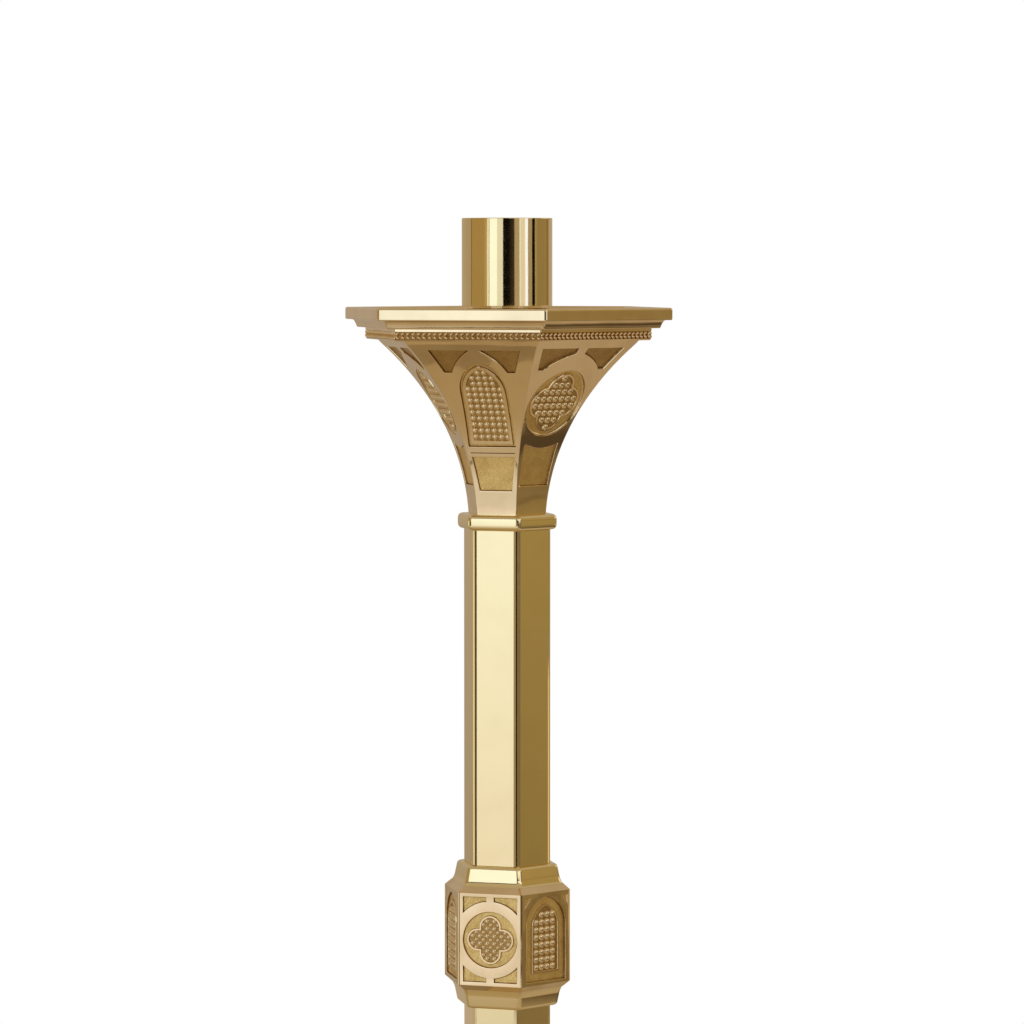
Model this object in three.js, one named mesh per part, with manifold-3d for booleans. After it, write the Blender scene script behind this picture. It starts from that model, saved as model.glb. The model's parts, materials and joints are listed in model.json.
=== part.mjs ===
// Floor candlestick in cast and turned brass: a hexagonal gothic pattern made of stacked sections
// on one threaded tie rod. Millimetres, +Z up, origin on the floor at the centre of the foot.
// Two opposite corners of every hexagon lie on the X axis, so two opposite faces look along Y.

import * as THREE from 'three';
import { mergeVertices } from 'three/addons/utils/BufferGeometryUtils.js';
import Module from 'manifold-3d';

const wasm = await Module();
wasm.setup();

// Candle and socket
const CANDLE_DIAMETER = 49.2;
const CANDLE_PLAY = 0.4;
const SOCKET_WALL = 1.2;
const SOCKET_LENGTH = 50.4;
const SOCKET_FLOOR = 9;
const SEAT_RISE = 0.5;
const SEAT_EDGE = 2.6;
const SOLDER_GAP = 0.15;
const SOCKET_WASHER_INSET = 6;
const SOCKET_WASHER_THICKNESS = 1;

// Tie rod, nuts and washers
const ROD_RADIUS = 5;
const ROD_HOLE_PLAY = 0.3;
const ROD_ENGAGEMENT = 6;
const ROD_STICKOUT = 2;
const BLIND_HOLE_PLAY = 0.6;
const NUT_ACROSS_FLATS = 17;
const NUT_HEIGHT = 8;
const NUT_WASHER_RADIUS = 10.5;
const NUT_WASHER_THICKNESS = 2;

// Play between neighbours
const BED = 0.02;
const RUNNING_GAP = 0.1;
const SPIGOT_PLAY = 0.3;

// Drip pan
const PAN_FASCIA_HEIGHT = 7;
const PAN_FASCIA_TOP_ROUND = 0.8;
const PAN_FASCIA_LOW_ROUND = 2;
const PAN_STEP_IN = 5.1;
const PAN_SLANT_HEIGHT = 4.6;
const PAN_SLANT_RUN = 2;
const PAN_SLANT_ROUND = 1;
const PAN_SOFFIT = 5.4;
const PAN_RIM_WIDTH = 5;
const PAN_DISH_DEPTH = 2.4;
const PAN_FLOOR = 4;
const PAN_BOSS_DROP = 0.4;
const PAN_BOSS_MARGIN = 2;
const PAN_SKIRT_WALL = 3.5;
const PAN_SKIRT_CLEARANCE = 0.8;

// Beaded mouldings next to the two flares
const BEAD_HEIGHT = 6.8;
const BEAD_OVERHANG = 7.4;
const BEAD_SEAT = 4.8;
const BEAD_LOWER_ROUND = 2.4;

// Capital, the flared casting under the pan
const CAPITAL_HEIGHT = 99.9;
const CAPITAL_TOP_RADIUS = 78.8;
const CAPITAL_NECK_RADIUS = 23.4;
const CAPITAL_WALL = 4.5;
const CAPITAL_FLOOR = 12;

// Astragals, the half-round collars at the two ends of the stem
const ASTRAGAL_HEIGHT = 8.9;
const ASTRAGAL_BULGE = 3.2;
const ASTRAGAL_FILLET = 0.5;
const ASTRAGAL_SPIGOT_RADIUS = 15.5;
const ASTRAGAL_SPIGOT_HEIGHT = 4;

// Hexagonal stem tubes
const SHAFT_ACROSS_FLATS = 46;
const SHAFT_CORNER_ROUND = 2.2;
const SHAFT_WALL = 2;
const SHAFT_LENGTH = 193;
const SHAFT_SPIGOT_HEIGHT = 8;

// Knops, the panelled swellings of the stem
const KNOP_LEDGE = 4.4;
const KNOP_COLLAR_ROUND = 1.8;
const KNOP_COLLAR_FACE = 4.4;
const KNOP_COLLAR_DRAFT = 0.7;
const KNOP_COVE_HEIGHT = 4.9;
const KNOP_COVE_RUN = 2.3;
const KNOP_SLOPE_HEIGHT = 3.4;
const KNOP_SLOPE_RUN = 4.2;
const KNOP_PANEL_HEIGHT = 53;
const KNOP_BORE_INSET = 9;
const KNOP_SPIGOT_HEIGHT = 5;

// Foot
const FOOT_FLARE_HEIGHT = 127;
const FOOT_FLARE_RADIUS = 108;
const FOOT_NECK_RADIUS = 24;
const FOOT_WALL = 5;
const FOOT_WEB = 14;
const PLINTH_NECK_MARGIN = 2.5;
const PLINTH_NECK_HEIGHT = 7;
const PLINTH_COVE_RUN = 16;
const PLINTH_STEP_HEIGHT = 7;
const PLINTH_STEP_RUN = 8;
const PLINTH_FASCIA_HEIGHT = 18.5;
const PLINTH_FASCIA_RUN = 8;
const PLINTH_EDGE_ROUND = 1.5;
const PLINTH_WEB = 8;
const PLINTH_WALL = 6;
const PLINTH_RIM_WIDTH = 20;
const PLINTH_REBATE_LIP = 8;
const BALLAST_THICKNESS = 26;
const BALLAST_PLAY = 0.5;
const COVER_THICKNESS = 2;
const COVER_CLEARANCE = 3;
const COVER_PLAY = 0.4;
const SCREW_RADIUS = 2;
const SCREW_LENGTH = 9;
const SCREW_HEAD_RADIUS = 3.8;
const SCREW_HEAD_HEIGHT = 2;
const SCREW_HOLE_PLAY = 0.2;
const SCREW_TIP_PLAY = 1;
const PAD_RADIUS = 11;
const PAD_HEIGHT = 3;
const PAD_INSET = 17;

// Relief on the cast faces: how deep the grounds lie
const FLARE_RELIEF = 1.2;
const KNOP_RELIEF = 1.2;

// How the curves pull, as shares of the rise and the run that each one spans
const FLARE_MOUTH_PULL = { rise: 0.0125, spread: 1.015 };
const FLARE_NECK_PULL = { rise: 0.363, spread: 0.081 };
const KNOP_COVE_PULL = { rise: 0.43, run: 0.22 };
const PLINTH_COVE_PULL = { rise: 0.11, run: 0.06 };
const SPANDREL_PULL = { rise: 0.35, run: 0.65 };

// Panels of a flare, as shares of its height, which near and far measure from its wide end
const LANCET = { apex: 0.134, spring: 0.298, sill: 0.607, half: 0.14 };
const LANCET_SPANDREL = { near: 0.056, far: 0.177, inner: 0.049, foot: 0.161, margin: 0.062 };
const ROUNDEL = { centre: 0.364, radius: 0.194 };
const ROUNDEL_SPANDREL = { near: 0.046, far: 0.159, inner: 0.037, foot: 0.206, margin: 0.062 };
const NECK_PANEL_UNDER_LANCET = { near: 0.671, far: 0.858, dip: 0, margin: 0.03 };
const NECK_PANEL_UNDER_ROUNDEL = { near: 0.595, far: 0.837, dip: 0.018, margin: 0.03 };
const FOOT_LANCET = { sill: 0.09, spring: 0.44, apex: 0.605, half: 0.14 };
const FOOT_SIDE_PANEL = { near: 0.06, far: 0.3, inner: 0.19, margin: 0.045 };

// Panels of a knop, as shares of the panelled height
const KNOP_QUATREFOIL = { roundel: 0.311, ring: 0.425, strap: 0.044, border: 0.05, frame: 0.035 };
const KNOP_LANCET = { sill: 0.034, spring: 0.66, apex: 0.967, half: 0.287 };
const KNOP_CORNER = { top: 0.94, side: 0.31, inner: 0.225, foot: 0.85 };

const FACES = 6;
const FACE_STEP = Math.PI / 3;
const FRONT_FACE = -Math.PI / 2;
const CORNER = 1 / Math.cos(Math.PI / FACES);

// How finely round shapes are cut, how far a cutter overshoots and when two points are one
const ROUND_SEGMENTS = 40;
const HOLE_SEGMENTS = 16;
const SCREW_SEGMENTS = 8;
const ROUNDEL_STEPS = 20;
const FLARE_STEPS = 10;
const BULGE_STEPS = 8;
const ARC_STEPS = 5;
const EDGE_STEPS = 3;
const LIP_STEPS = 2;
const OVERCUT = 1;
const SAME_POINT = 1e-4;

const finish = (color, roughness, metalness) => (
  new THREE.MeshStandardMaterial({ color, roughness, metalness, flatShading: true })
);
const brass = finish(0xc9a35a, 0.18, 1);
const steel = finish(0x9a9c9e, 0.35, 1);
const iron = finish(0x3b3a38, 0.7, 0.6);
const blackSteel = finish(0x2c2b2a, 0.5, 0.4);
const rubber = finish(0x1d1c1b, 0.9, 0);

// A closed three.js geometry as a solid that can be cut and joined
function solid(geometry) {
  geometry.deleteAttribute('normal');
  geometry.deleteAttribute('uv');
  const merged = mergeVertices(geometry, SAME_POINT);
  const corners = merged.index.array;
  const triangles = [];
  for (let i = 0; i < corners.length; i += 3) {
    const [a, b, c] = corners.slice(i, i + 3);
    if (a !== b && b !== c && c !== a) triangles.push(a, b, c);
  }
  const vertProperties = merged.attributes.position.array;
  const triVerts = new Uint32Array(triangles);
  return new wasm.Manifold(new wasm.Mesh({ numProp: 3, vertProperties, triVerts }));
}

// A solid turned round the Z axis from a closed outline of [radius, height] points that runs
// up its outside; with six segments the radius is the one across corners
function turned(outline, segments) {
  const points = [...outline, outline[0]].map(([radius, height]) => new THREE.Vector2(radius, height));
  const geometry = new THREE.LatheGeometry(points, segments, Math.PI / 2);
  geometry.rotateX(Math.PI / 2);
  return solid(geometry);
}

const hexagonal = (outline) => turned(outline, FACES);

const block = (radius, low, high) => [[0, low], [radius, low], [radius, high], [0, high]];

const cylinder = (radius, low, high, segments) => turned(block(radius, low, high), segments);

// The tie rod's clearance hole through whatever lies between two heights
function rodHole(low, high) {
  return cylinder(ROD_RADIUS + ROD_HOLE_PLAY, low - OVERCUT, high + OVERCUT, HOLE_SEGMENTS);
}

// Points along a quadratic or cubic curve, both ends included
function curve(points, steps) {
  const vectors = points.map(([x, y]) => new THREE.Vector2(x, y));
  const Kind = vectors.length === 3 ? THREE.QuadraticBezierCurve : THREE.CubicBezierCurve;
  return new Kind(...vectors).getPoints(steps).map((p) => [p.x, p.y]);
}

// A flat outline pushed out of one face of the hexagon, from the given distance off the axis
function faceBlock(points, face, start, depth) {
  const shape = new THREE.Shape(points.map(([across, height]) => new THREE.Vector2(across, height)));
  const geometry = new THREE.ExtrudeGeometry(shape, { depth, bevelEnabled: false });
  const angle = FRONT_FACE + face * FACE_STEP;
  const outward = new THREE.Vector3(Math.cos(angle), Math.sin(angle), 0);
  const across = new THREE.Vector3(-Math.sin(angle), Math.cos(angle), 0);
  const place = new THREE.Matrix4().makeBasis(across, new THREE.Vector3(0, 0, 1), outward);
  place.setPosition(outward.clone().multiplyScalar(start));
  geometry.applyMatrix4(place);
  return solid(geometry);
}

// Sinks the outlines listed for each face into a solid, down to the surface of its core
function sinkPanels(body, core, outlinesOf, start, depth) {
  let blocks = null;
  for (let face = 0; face < FACES; face += 1) {
    for (const outline of outlinesOf(face)) {
      const cutter = faceBlock(outline, face, start, depth);
      blocks = blocks ? blocks.add(cutter) : cutter;
    }
  }
  return body.subtract(blocks.subtract(core));
}

const mirrored = (points) => points.map(([across, height]) => [-across, height]);

const flipped = (outline, height) => outline.map(([radius, level]) => [radius, height - level]).reverse();

// A pointed arch window: sill below, then two arcs that meet at the apex. Its plan is in shares
// of a height, and up(share) gives the level of each.
function lancetOutline(plan, up, height) {
  const half = plan.half * height;
  const sill = up(plan.sill);
  const spring = up(plan.spring);
  const rise = up(plan.apex) - spring;
  const shift = (rise * rise - half * half) / (2 * half);
  const radius = half + shift;
  const sweep = Math.atan2(rise, shift);
  const side = [];
  for (let i = 0; i < ARC_STEPS; i += 1) {
    const angle = (sweep * i) / ARC_STEPS;
    side.push([radius * Math.cos(angle) - shift, spring + radius * Math.sin(angle)]);
  }
  return [[-half, sill], [half, sill], ...side, [0, up(plan.apex)], ...mirrored(side).reverse()];
}

function circleOutline(radius, centre) {
  const points = [];
  for (let i = 0; i < ROUNDEL_STEPS; i += 1) {
    const angle = (2 * Math.PI * i) / ROUNDEL_STEPS;
    points.push([radius * Math.cos(angle), centre + radius * Math.sin(angle)]);
  }
  return points;
}

// Radius across corners of a flare at heights above its neck
function flareProfile(neck, mouth, height) {
  const spread = mouth - neck;
  const points = curve([
    [mouth, height],
    [neck + spread * FLARE_MOUTH_PULL.spread, height * (1 - FLARE_MOUTH_PULL.rise)],
    [neck + spread * FLARE_NECK_PULL.spread, height * (1 - FLARE_NECK_PULL.rise)],
    [neck, 0],
  ], FLARE_STEPS);
  return points.reverse();
}

function radiusAt(profile, height) {
  for (let i = 1; i < profile.length; i += 1) {
    const [lowRadius, low] = profile[i - 1];
    const [highRadius, high] = profile[i];
    if (height <= high) return lowRadius + ((highRadius - lowRadius) * (height - low)) / (high - low);
  }
  return profile[profile.length - 1][0];
}

// The three-sided panel between an arch and the flare's corner; edge(share) is half the face's
// width at a share of the height
function spandrelOutline(plan, up, edge, height) {
  const margin = plan.margin * height;
  const inner = plan.inner * height;
  const foot = plan.foot * height;
  const middle = inner + SPANDREL_PULL.run * (foot - inner);
  const sag = up(plan.near + SPANDREL_PULL.rise * (plan.far - plan.near));
  const arch = curve([[foot, up(plan.far)], [middle, sag], [inner, up(plan.near)]], ARC_STEPS);
  return [...arch, [edge(plan.near) - margin, up(plan.near)], [edge(plan.far) - margin, up(plan.far)]];
}

function neckPanelOutline(plan, up, edge, height) {
  const margin = plan.margin * height;
  const near = edge(plan.near) - margin;
  const far = edge(plan.far) - margin;
  const dip = [0, up(plan.near + 2 * plan.dip)];
  const level = [[-near, up(plan.near)], [near, up(plan.near)]];
  const top = plan.dip ? curve([level[0], dip, level[1]], ARC_STEPS) : level;
  return [...top, [far, up(plan.far)], [-far, up(plan.far)]];
}

function roundelFacePanels(up, edge, height) {
  const spandrel = spandrelOutline(ROUNDEL_SPANDREL, up, edge, height);
  return [
    circleOutline(ROUNDEL.radius * height, up(ROUNDEL.centre)),
    spandrel,
    mirrored(spandrel),
    neckPanelOutline(NECK_PANEL_UNDER_ROUNDEL, up, edge, height),
  ];
}

// Lancet windows and roundels take turns round a flare
function capitalPanels(profile) {
  const height = CAPITAL_HEIGHT;
  const up = (share) => height * (1 - share);
  const edge = (share) => radiusAt(profile, up(share)) / 2;
  const spandrel = spandrelOutline(LANCET_SPANDREL, up, edge, height);
  const lancetFace = [
    lancetOutline(LANCET, up, height),
    spandrel,
    mirrored(spandrel),
    neckPanelOutline(NECK_PANEL_UNDER_LANCET, up, edge, height),
  ];
  const roundelFace = roundelFacePanels(up, edge, height);
  return (face) => (face % 2 === 0 ? lancetFace : roundelFace);
}

// On the foot the lancets stand upright too, so they leave room for panels beside their sills
function footPanels(profileFromFloor) {
  const height = FOOT_FLARE_HEIGHT;
  const up = (share) => height * share;
  const edge = (share) => radiusAt(profileFromFloor, up(share)) / 2;
  const side = FOOT_SIDE_PANEL;
  const inner = side.inner * height;
  const sidePanel = [
    [inner, up(side.near)],
    [edge(side.near) - side.margin * height, up(side.near)],
    [inner, up(side.far)],
  ];
  const lancetFace = [
    lancetOutline(FOOT_LANCET, up, height),
    sidePanel,
    mirrored(sidePanel),
    neckPanelOutline(NECK_PANEL_UNDER_LANCET, up, edge, height),
  ];
  const roundelFace = roundelFacePanels(up, edge, height);
  return (face) => (face % 2 === 0 ? lancetFace : roundelFace);
}

// Radii that neighbours share, across corners where the piece is hexagonal
const socketBore = (CANDLE_DIAMETER + CANDLE_PLAY) / 2;
const socketRadius = socketBore + SOCKET_WALL;
const socketWasherRadius = socketRadius - SOCKET_WASHER_INSET;
const capitalBeadRadius = CAPITAL_TOP_RADIUS + BEAD_OVERHANG;
const capitalBeadBore = CAPITAL_TOP_RADIUS - BEAD_SEAT;
const footBeadRadius = FOOT_FLARE_RADIUS + BEAD_OVERHANG;
const footBeadBore = FOOT_FLARE_RADIUS - BEAD_SEAT;
const shaftRadius = (SHAFT_ACROSS_FLATS / 2) * CORNER;
const shaftBoreRadius = (SHAFT_ACROSS_FLATS / 2 - SHAFT_WALL) * CORNER;
const shaftSpigotRadius = shaftBoreRadius - SPIGOT_PLAY * CORNER;
const collarRadius = shaftRadius + KNOP_LEDGE;
const collarLipRadius = collarRadius + KNOP_COLLAR_DRAFT;
const collarBaseRadius = collarLipRadius + KNOP_COVE_RUN;
const knopRadius = collarBaseRadius + KNOP_SLOPE_RUN;
const knopBoreRadius = knopRadius - KNOP_BORE_INSET;
const nutRadius = (NUT_ACROSS_FLATS / 2) * CORNER;

const collarHeight = KNOP_COLLAR_ROUND + KNOP_COLLAR_FACE + KNOP_COVE_HEIGHT;
const knopBodyHeight = KNOP_PANEL_HEIGHT + 2 * KNOP_SLOPE_HEIGHT;
const panHeight = PAN_FASCIA_HEIGHT + PAN_SLANT_HEIGHT;

// The foot's cavity is as deep as what it holds
const ballastLow = COVER_THICKNESS + COVER_CLEARANCE + ROD_STICKOUT + NUT_HEIGHT + NUT_WASHER_THICKNESS;
const plinthWebLow = ballastLow + BALLAST_THICKNESS + BED;
const plinthHeight = plinthWebLow + PLINTH_WEB;
const plinthNeckRadius = footBeadRadius + PLINTH_NECK_MARGIN;
const plinthCoveRadius = plinthNeckRadius + PLINTH_COVE_RUN;
const plinthStepRadius = plinthCoveRadius + PLINTH_STEP_RUN;
const plinthRadius = plinthStepRadius + PLINTH_FASCIA_RUN;
const rebateRadius = plinthRadius - PLINTH_REBATE_LIP;
const lowerCavityRadius = plinthRadius - PLINTH_RIM_WIDTH;
const upperCavityRadius = plinthNeckRadius - PLINTH_WALL;

// Levels of the stack, each the height that a section stands on
const levels = {};
let stackTop = PAD_HEIGHT + BED;
function stack(name, height) {
  levels[name] = stackTop;
  stackTop += height + BED;
}
function stackKnop(name) {
  stack(`${name}_bottom_collar`, collarHeight);
  stack(`${name}_body`, knopBodyHeight);
  stack(`${name}_top_collar`, collarHeight);
}
stack('base_plinth', plinthHeight);
stack('base_bead_moulding', BEAD_HEIGHT);
stack('base_flare', FOOT_FLARE_HEIGHT);
stack('base_astragal', ASTRAGAL_HEIGHT);
stack('shaft_lower', SHAFT_LENGTH);
stackKnop('knop_lower');
stack('shaft_middle', SHAFT_LENGTH);
stackKnop('knop_upper');
stack('shaft_upper', SHAFT_LENGTH);
stack('upper_astragal', ASTRAGAL_HEIGHT);
stack('capital', CAPITAL_HEIGHT);
stack('capital_bead_moulding', BEAD_HEIGHT);
stack('drip_pan', panHeight);
levels.socket_washer = levels.drip_pan + panHeight - PAN_BOSS_DROP + BED;
levels.candle_socket = levels.socket_washer + SOCKET_WASHER_THICKNESS + RUNNING_GAP;
levels.ballast_weight = levels.base_plinth + ballastLow;
levels.base_nut_washer = levels.ballast_weight - BED - NUT_WASHER_THICKNESS;
levels.base_nut = levels.base_nut_washer - BED - NUT_HEIGHT;

const candlestick = new THREE.Group();

function place(name, body, material, level) {
  const mesh = body.getMesh();
  const geometry = new THREE.BufferGeometry();
  geometry.setAttribute('position', new THREE.BufferAttribute(new Float32Array(mesh.vertProperties), 3));
  geometry.setIndex(new THREE.BufferAttribute(new Uint32Array(mesh.triVerts), 1));
  geometry.computeVertexNormals();
  const piece = new THREE.Mesh(geometry, material);
  piece.name = name;
  piece.position.z = level;
  candlestick.add(piece);
}

// The socket: a thin tube soldered round a turned floor with a blind threaded hole and a raised seat
function makeSocket() {
  const tube = turned([
    [socketBore, 0], [socketRadius, 0], [socketRadius, SOCKET_LENGTH], [socketBore, SOCKET_LENGTH],
  ], ROUND_SEGMENTS);
  place('socket_tube', tube, brass, levels.candle_socket);
  const floorRadius = socketBore - SOLDER_GAP;
  const seatRadius = floorRadius - SEAT_EDGE;
  const floor = turned([
    [0, 0], [floorRadius, 0], [floorRadius, SOCKET_FLOOR], [seatRadius, SOCKET_FLOOR],
    [seatRadius, SOCKET_FLOOR + SEAT_RISE], [0, SOCKET_FLOOR + SEAT_RISE],
  ], ROUND_SEGMENTS);
  const threadTop = ROD_ENGAGEMENT + BLIND_HOLE_PLAY - OVERCUT;
  place('socket_floor', floor.subtract(rodHole(0, threadTop)), brass, levels.candle_socket);
  const washer = cylinder(socketWasherRadius, 0, SOCKET_WASHER_THICKNESS, ROUND_SEGMENTS);
  place('socket_washer', washer.subtract(rodHole(0, SOCKET_WASHER_THICKNESS)), brass, levels.socket_washer);
}

// The drip pan: a shallow hexagonal dish with a stepped edge and a skirt inside the beaded moulding
function makePan() {
  const slantFoot = capitalBeadRadius + PAN_SOFFIT;
  const slantTop = slantFoot + PAN_SLANT_RUN;
  const fascia = slantTop + PAN_STEP_IN;
  const skirtRadius = capitalBeadBore - SPIGOT_PLAY * CORNER;
  const skirtLow = PAN_SKIRT_CLEARANCE - BEAD_HEIGHT;
  const rim = fascia - PAN_RIM_WIDTH;
  const dish = panHeight - PAN_DISH_DEPTH;
  const bossRadius = (socketWasherRadius + PAN_BOSS_MARGIN) * CORNER;
  const soffit = PAN_SLANT_HEIGHT;
  const lip = panHeight;
  const lowRound = PAN_FASCIA_LOW_ROUND;
  const topRound = PAN_FASCIA_TOP_ROUND;
  const slantRound = PAN_SLANT_ROUND;
  const slantStart = slantFoot + (PAN_SLANT_RUN * slantRound) / PAN_SLANT_HEIGHT;
  const body = hexagonal([
    [0, dish - PAN_FLOOR],
    [skirtRadius - PAN_SKIRT_WALL, dish - PAN_FLOOR],
    [skirtRadius - PAN_SKIRT_WALL, skirtLow],
    [skirtRadius, skirtLow],
    [skirtRadius, 0],
    ...curve([[slantFoot - slantRound, 0], [slantFoot, 0], [slantStart, slantRound]], LIP_STEPS),
    [slantTop, PAN_SLANT_HEIGHT],
    ...curve([[fascia - lowRound, soffit], [fascia, soffit], [fascia, soffit + lowRound]], EDGE_STEPS),
    ...curve([[fascia, lip - topRound], [fascia, lip], [fascia - topRound, lip]], LIP_STEPS),
    [rim, panHeight],
    [rim - PAN_DISH_DEPTH, dish],
    [bossRadius + PAN_DISH_DEPTH, dish],
    [bossRadius, panHeight - PAN_BOSS_DROP],
    [0, panHeight - PAN_BOSS_DROP],
  ]);
  place('drip_pan', body.subtract(rodHole(0, panHeight)), brass, levels.drip_pan);
}

// A hexagonal moulding ring that carries a row of beads, drawn with the flare below it
function beadMoulding(bore, flareRadius, radius) {
  return [
    [bore, 0],
    [flareRadius, 0],
    [radius - BEAD_LOWER_ROUND / 2, BEAD_LOWER_ROUND / 2],
    [radius, BEAD_LOWER_ROUND],
    [radius, BEAD_HEIGHT],
    [bore, BEAD_HEIGHT],
  ];
}

function makeMouldings() {
  const upper = beadMoulding(capitalBeadBore, CAPITAL_TOP_RADIUS, capitalBeadRadius);
  place('capital_bead_moulding', hexagonal(upper), brass, levels.capital_bead_moulding);
  const lower = flipped(beadMoulding(footBeadBore, FOOT_FLARE_RADIUS, footBeadRadius), BEAD_HEIGHT);
  place('base_bead_moulding', hexagonal(lower), brass, levels.base_bead_moulding);
}

const offsetProfile = (profile, distance) => (
  profile.map(([radius, height]) => [radius - distance * CORNER, height])
);

// The flared shell of a capital or a foot, neck at the bottom, with a socket for the astragal's spigot
function flareShell(profile, wall, floor) {
  const inside = offsetProfile(profile, wall).filter(([, level]) => level > floor);
  const spigotHole = ASTRAGAL_SPIGOT_RADIUS + SPIGOT_PLAY * CORNER;
  return [
    [0, ASTRAGAL_SPIGOT_HEIGHT + SPIGOT_PLAY],
    [spigotHole, ASTRAGAL_SPIGOT_HEIGHT + SPIGOT_PLAY],
    [spigotHole, 0],
    ...profile,
    ...inside.reverse(),
    [radiusAt(profile, floor) - wall * CORNER, floor],
    [0, floor],
  ];
}

function makeCapital() {
  const profile = flareProfile(CAPITAL_NECK_RADIUS, CAPITAL_TOP_RADIUS, CAPITAL_HEIGHT);
  const shell = hexagonal(flareShell(profile, CAPITAL_WALL, CAPITAL_FLOOR));
  const core = hexagonal([[0, 0], ...offsetProfile(profile, FLARE_RELIEF), [0, CAPITAL_HEIGHT]]);
  const start = CAPITAL_NECK_RADIUS / 2;
  const carved = sinkPanels(shell, core, capitalPanels(profile), start, CAPITAL_TOP_RADIUS);
  place('capital', carved.subtract(rodHole(0, CAPITAL_FLOOR)), brass, levels.capital);
  const washerLevel = levels.capital + CAPITAL_FLOOR + BED;
  makeNut('capital_nut', washerLevel, washerLevel + NUT_WASHER_THICKNESS + BED);
}

// A plain washer and the hexagonal nut above or below it on the tie rod
function makeNut(name, washerLevel, nutLevel) {
  const washer = cylinder(NUT_WASHER_RADIUS, 0, NUT_WASHER_THICKNESS, HOLE_SEGMENTS);
  place(`${name}_washer`, washer.subtract(rodHole(0, NUT_WASHER_THICKNESS)), steel, washerLevel);
  const nut = hexagonal(block(nutRadius, 0, NUT_HEIGHT));
  place(name, nut.subtract(rodHole(0, NUT_HEIGHT)), steel, nutLevel);
}

// A half-round collar with a spigot into the stem tube and a smaller one into the flare's neck.
// Here the flare is above; the foot's collar is the same outline turned over. A cubic curve
// reaches three quarters of the way to its handles.
function astragalOutline() {
  const shoulder = shaftRadius + ASTRAGAL_FILLET;
  const handle = shoulder + (ASTRAGAL_BULGE * 4) / 3;
  const side = curve([
    [shoulder, 0], [handle, 0], [handle, ASTRAGAL_HEIGHT], [shoulder, ASTRAGAL_HEIGHT],
  ], BULGE_STEPS);
  return [
    [0, -SHAFT_SPIGOT_HEIGHT],
    [shaftSpigotRadius, -SHAFT_SPIGOT_HEIGHT],
    [shaftSpigotRadius, 0],
    ...side,
    [ASTRAGAL_SPIGOT_RADIUS, ASTRAGAL_HEIGHT],
    [ASTRAGAL_SPIGOT_RADIUS, ASTRAGAL_HEIGHT + ASTRAGAL_SPIGOT_HEIGHT],
    [0, ASTRAGAL_HEIGHT + ASTRAGAL_SPIGOT_HEIGHT],
  ];
}

function makeAstragals() {
  const reach = SHAFT_SPIGOT_HEIGHT + ASTRAGAL_HEIGHT + ASTRAGAL_SPIGOT_HEIGHT;
  const hole = rodHole(-reach, reach);
  place('upper_astragal', hexagonal(astragalOutline()).subtract(hole), brass, levels.upper_astragal);
  const turnedOver = hexagonal(flipped(astragalOutline(), ASTRAGAL_HEIGHT));
  place('base_astragal', turnedOver.subtract(hole), brass, levels.base_astragal);
}

// Six corners of a hexagon, each rounded in a few steps where a round is given
function hexagonPoints(flat, round) {
  const centre = (flat - round) * CORNER;
  const steps = round ? EDGE_STEPS : 0;
  const points = [];
  for (let corner = 0; corner < FACES; corner += 1) {
    const angle = corner * FACE_STEP;
    for (let i = 0; i <= steps; i += 1) {
      const turn = angle + FACE_STEP * (i / EDGE_STEPS - 1 / 2);
      const x = centre * Math.cos(angle) + round * Math.cos(turn);
      const y = centre * Math.sin(angle) + round * Math.sin(turn);
      points.push(new THREE.Vector2(x, y));
    }
  }
  return points;
}

// A stem tube: a hexagon with softened corners outside and a plain hexagonal bore
function makeShafts() {
  const shape = new THREE.Shape(hexagonPoints(SHAFT_ACROSS_FLATS / 2, SHAFT_CORNER_ROUND));
  shape.holes.push(new THREE.Path(hexagonPoints(SHAFT_ACROSS_FLATS / 2 - SHAFT_WALL, 0)));
  for (const name of ['shaft_lower', 'shaft_middle', 'shaft_upper']) {
    const geometry = new THREE.ExtrudeGeometry(shape, { depth: SHAFT_LENGTH, bevelEnabled: false });
    place(name, solid(geometry), brass, levels[name]);
  }
}

// A knop collar as it lies under a tube: spigot up into the tube, cove spreading to the body below
function collarOutline() {
  const spigot = knopBoreRadius - SPIGOT_PLAY * CORNER;
  const faceTop = KNOP_COVE_HEIGHT + KNOP_COLLAR_FACE;
  const pullRadius = collarLipRadius + KNOP_COVE_PULL.run * KNOP_COVE_RUN;
  const pull = [pullRadius, KNOP_COVE_PULL.rise * KNOP_COVE_HEIGHT];
  const ledge = collarRadius - KNOP_COLLAR_ROUND;
  return [
    [0, -KNOP_SPIGOT_HEIGHT],
    [spigot, -KNOP_SPIGOT_HEIGHT],
    [spigot, 0],
    ...curve([[collarBaseRadius, 0], pull, [collarLipRadius, KNOP_COVE_HEIGHT]], ARC_STEPS),
    ...curve([[collarRadius, faceTop], [collarRadius, collarHeight], [ledge, collarHeight]], EDGE_STEPS),
    [shaftSpigotRadius, collarHeight],
    [shaftSpigotRadius, collarHeight + SHAFT_SPIGOT_HEIGHT],
    [0, collarHeight + SHAFT_SPIGOT_HEIGHT],
  ];
}

// The four corner panels round a knop's roundel: a ring's arc, a strap and two straight sides
function knopRingCorner() {
  const height = KNOP_PANEL_HEIGHT;
  const ring = KNOP_QUATREFOIL.ring * height;
  const strap = KNOP_QUATREFOIL.strap * height;
  const side = knopRadius / 2 - KNOP_QUATREFOIL.border * height;
  const reach = height / 2 - KNOP_QUATREFOIL.frame * height;
  const first = Math.acos(side / ring);
  const last = Math.acos(strap / ring);
  const arc = [];
  for (let i = 0; i <= ARC_STEPS; i += 1) {
    const angle = first + ((last - first) * i) / ARC_STEPS;
    arc.push([ring * Math.cos(angle), ring * Math.sin(angle)]);
  }
  return [...arc, [strap, reach], [side, reach]];
}

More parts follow.
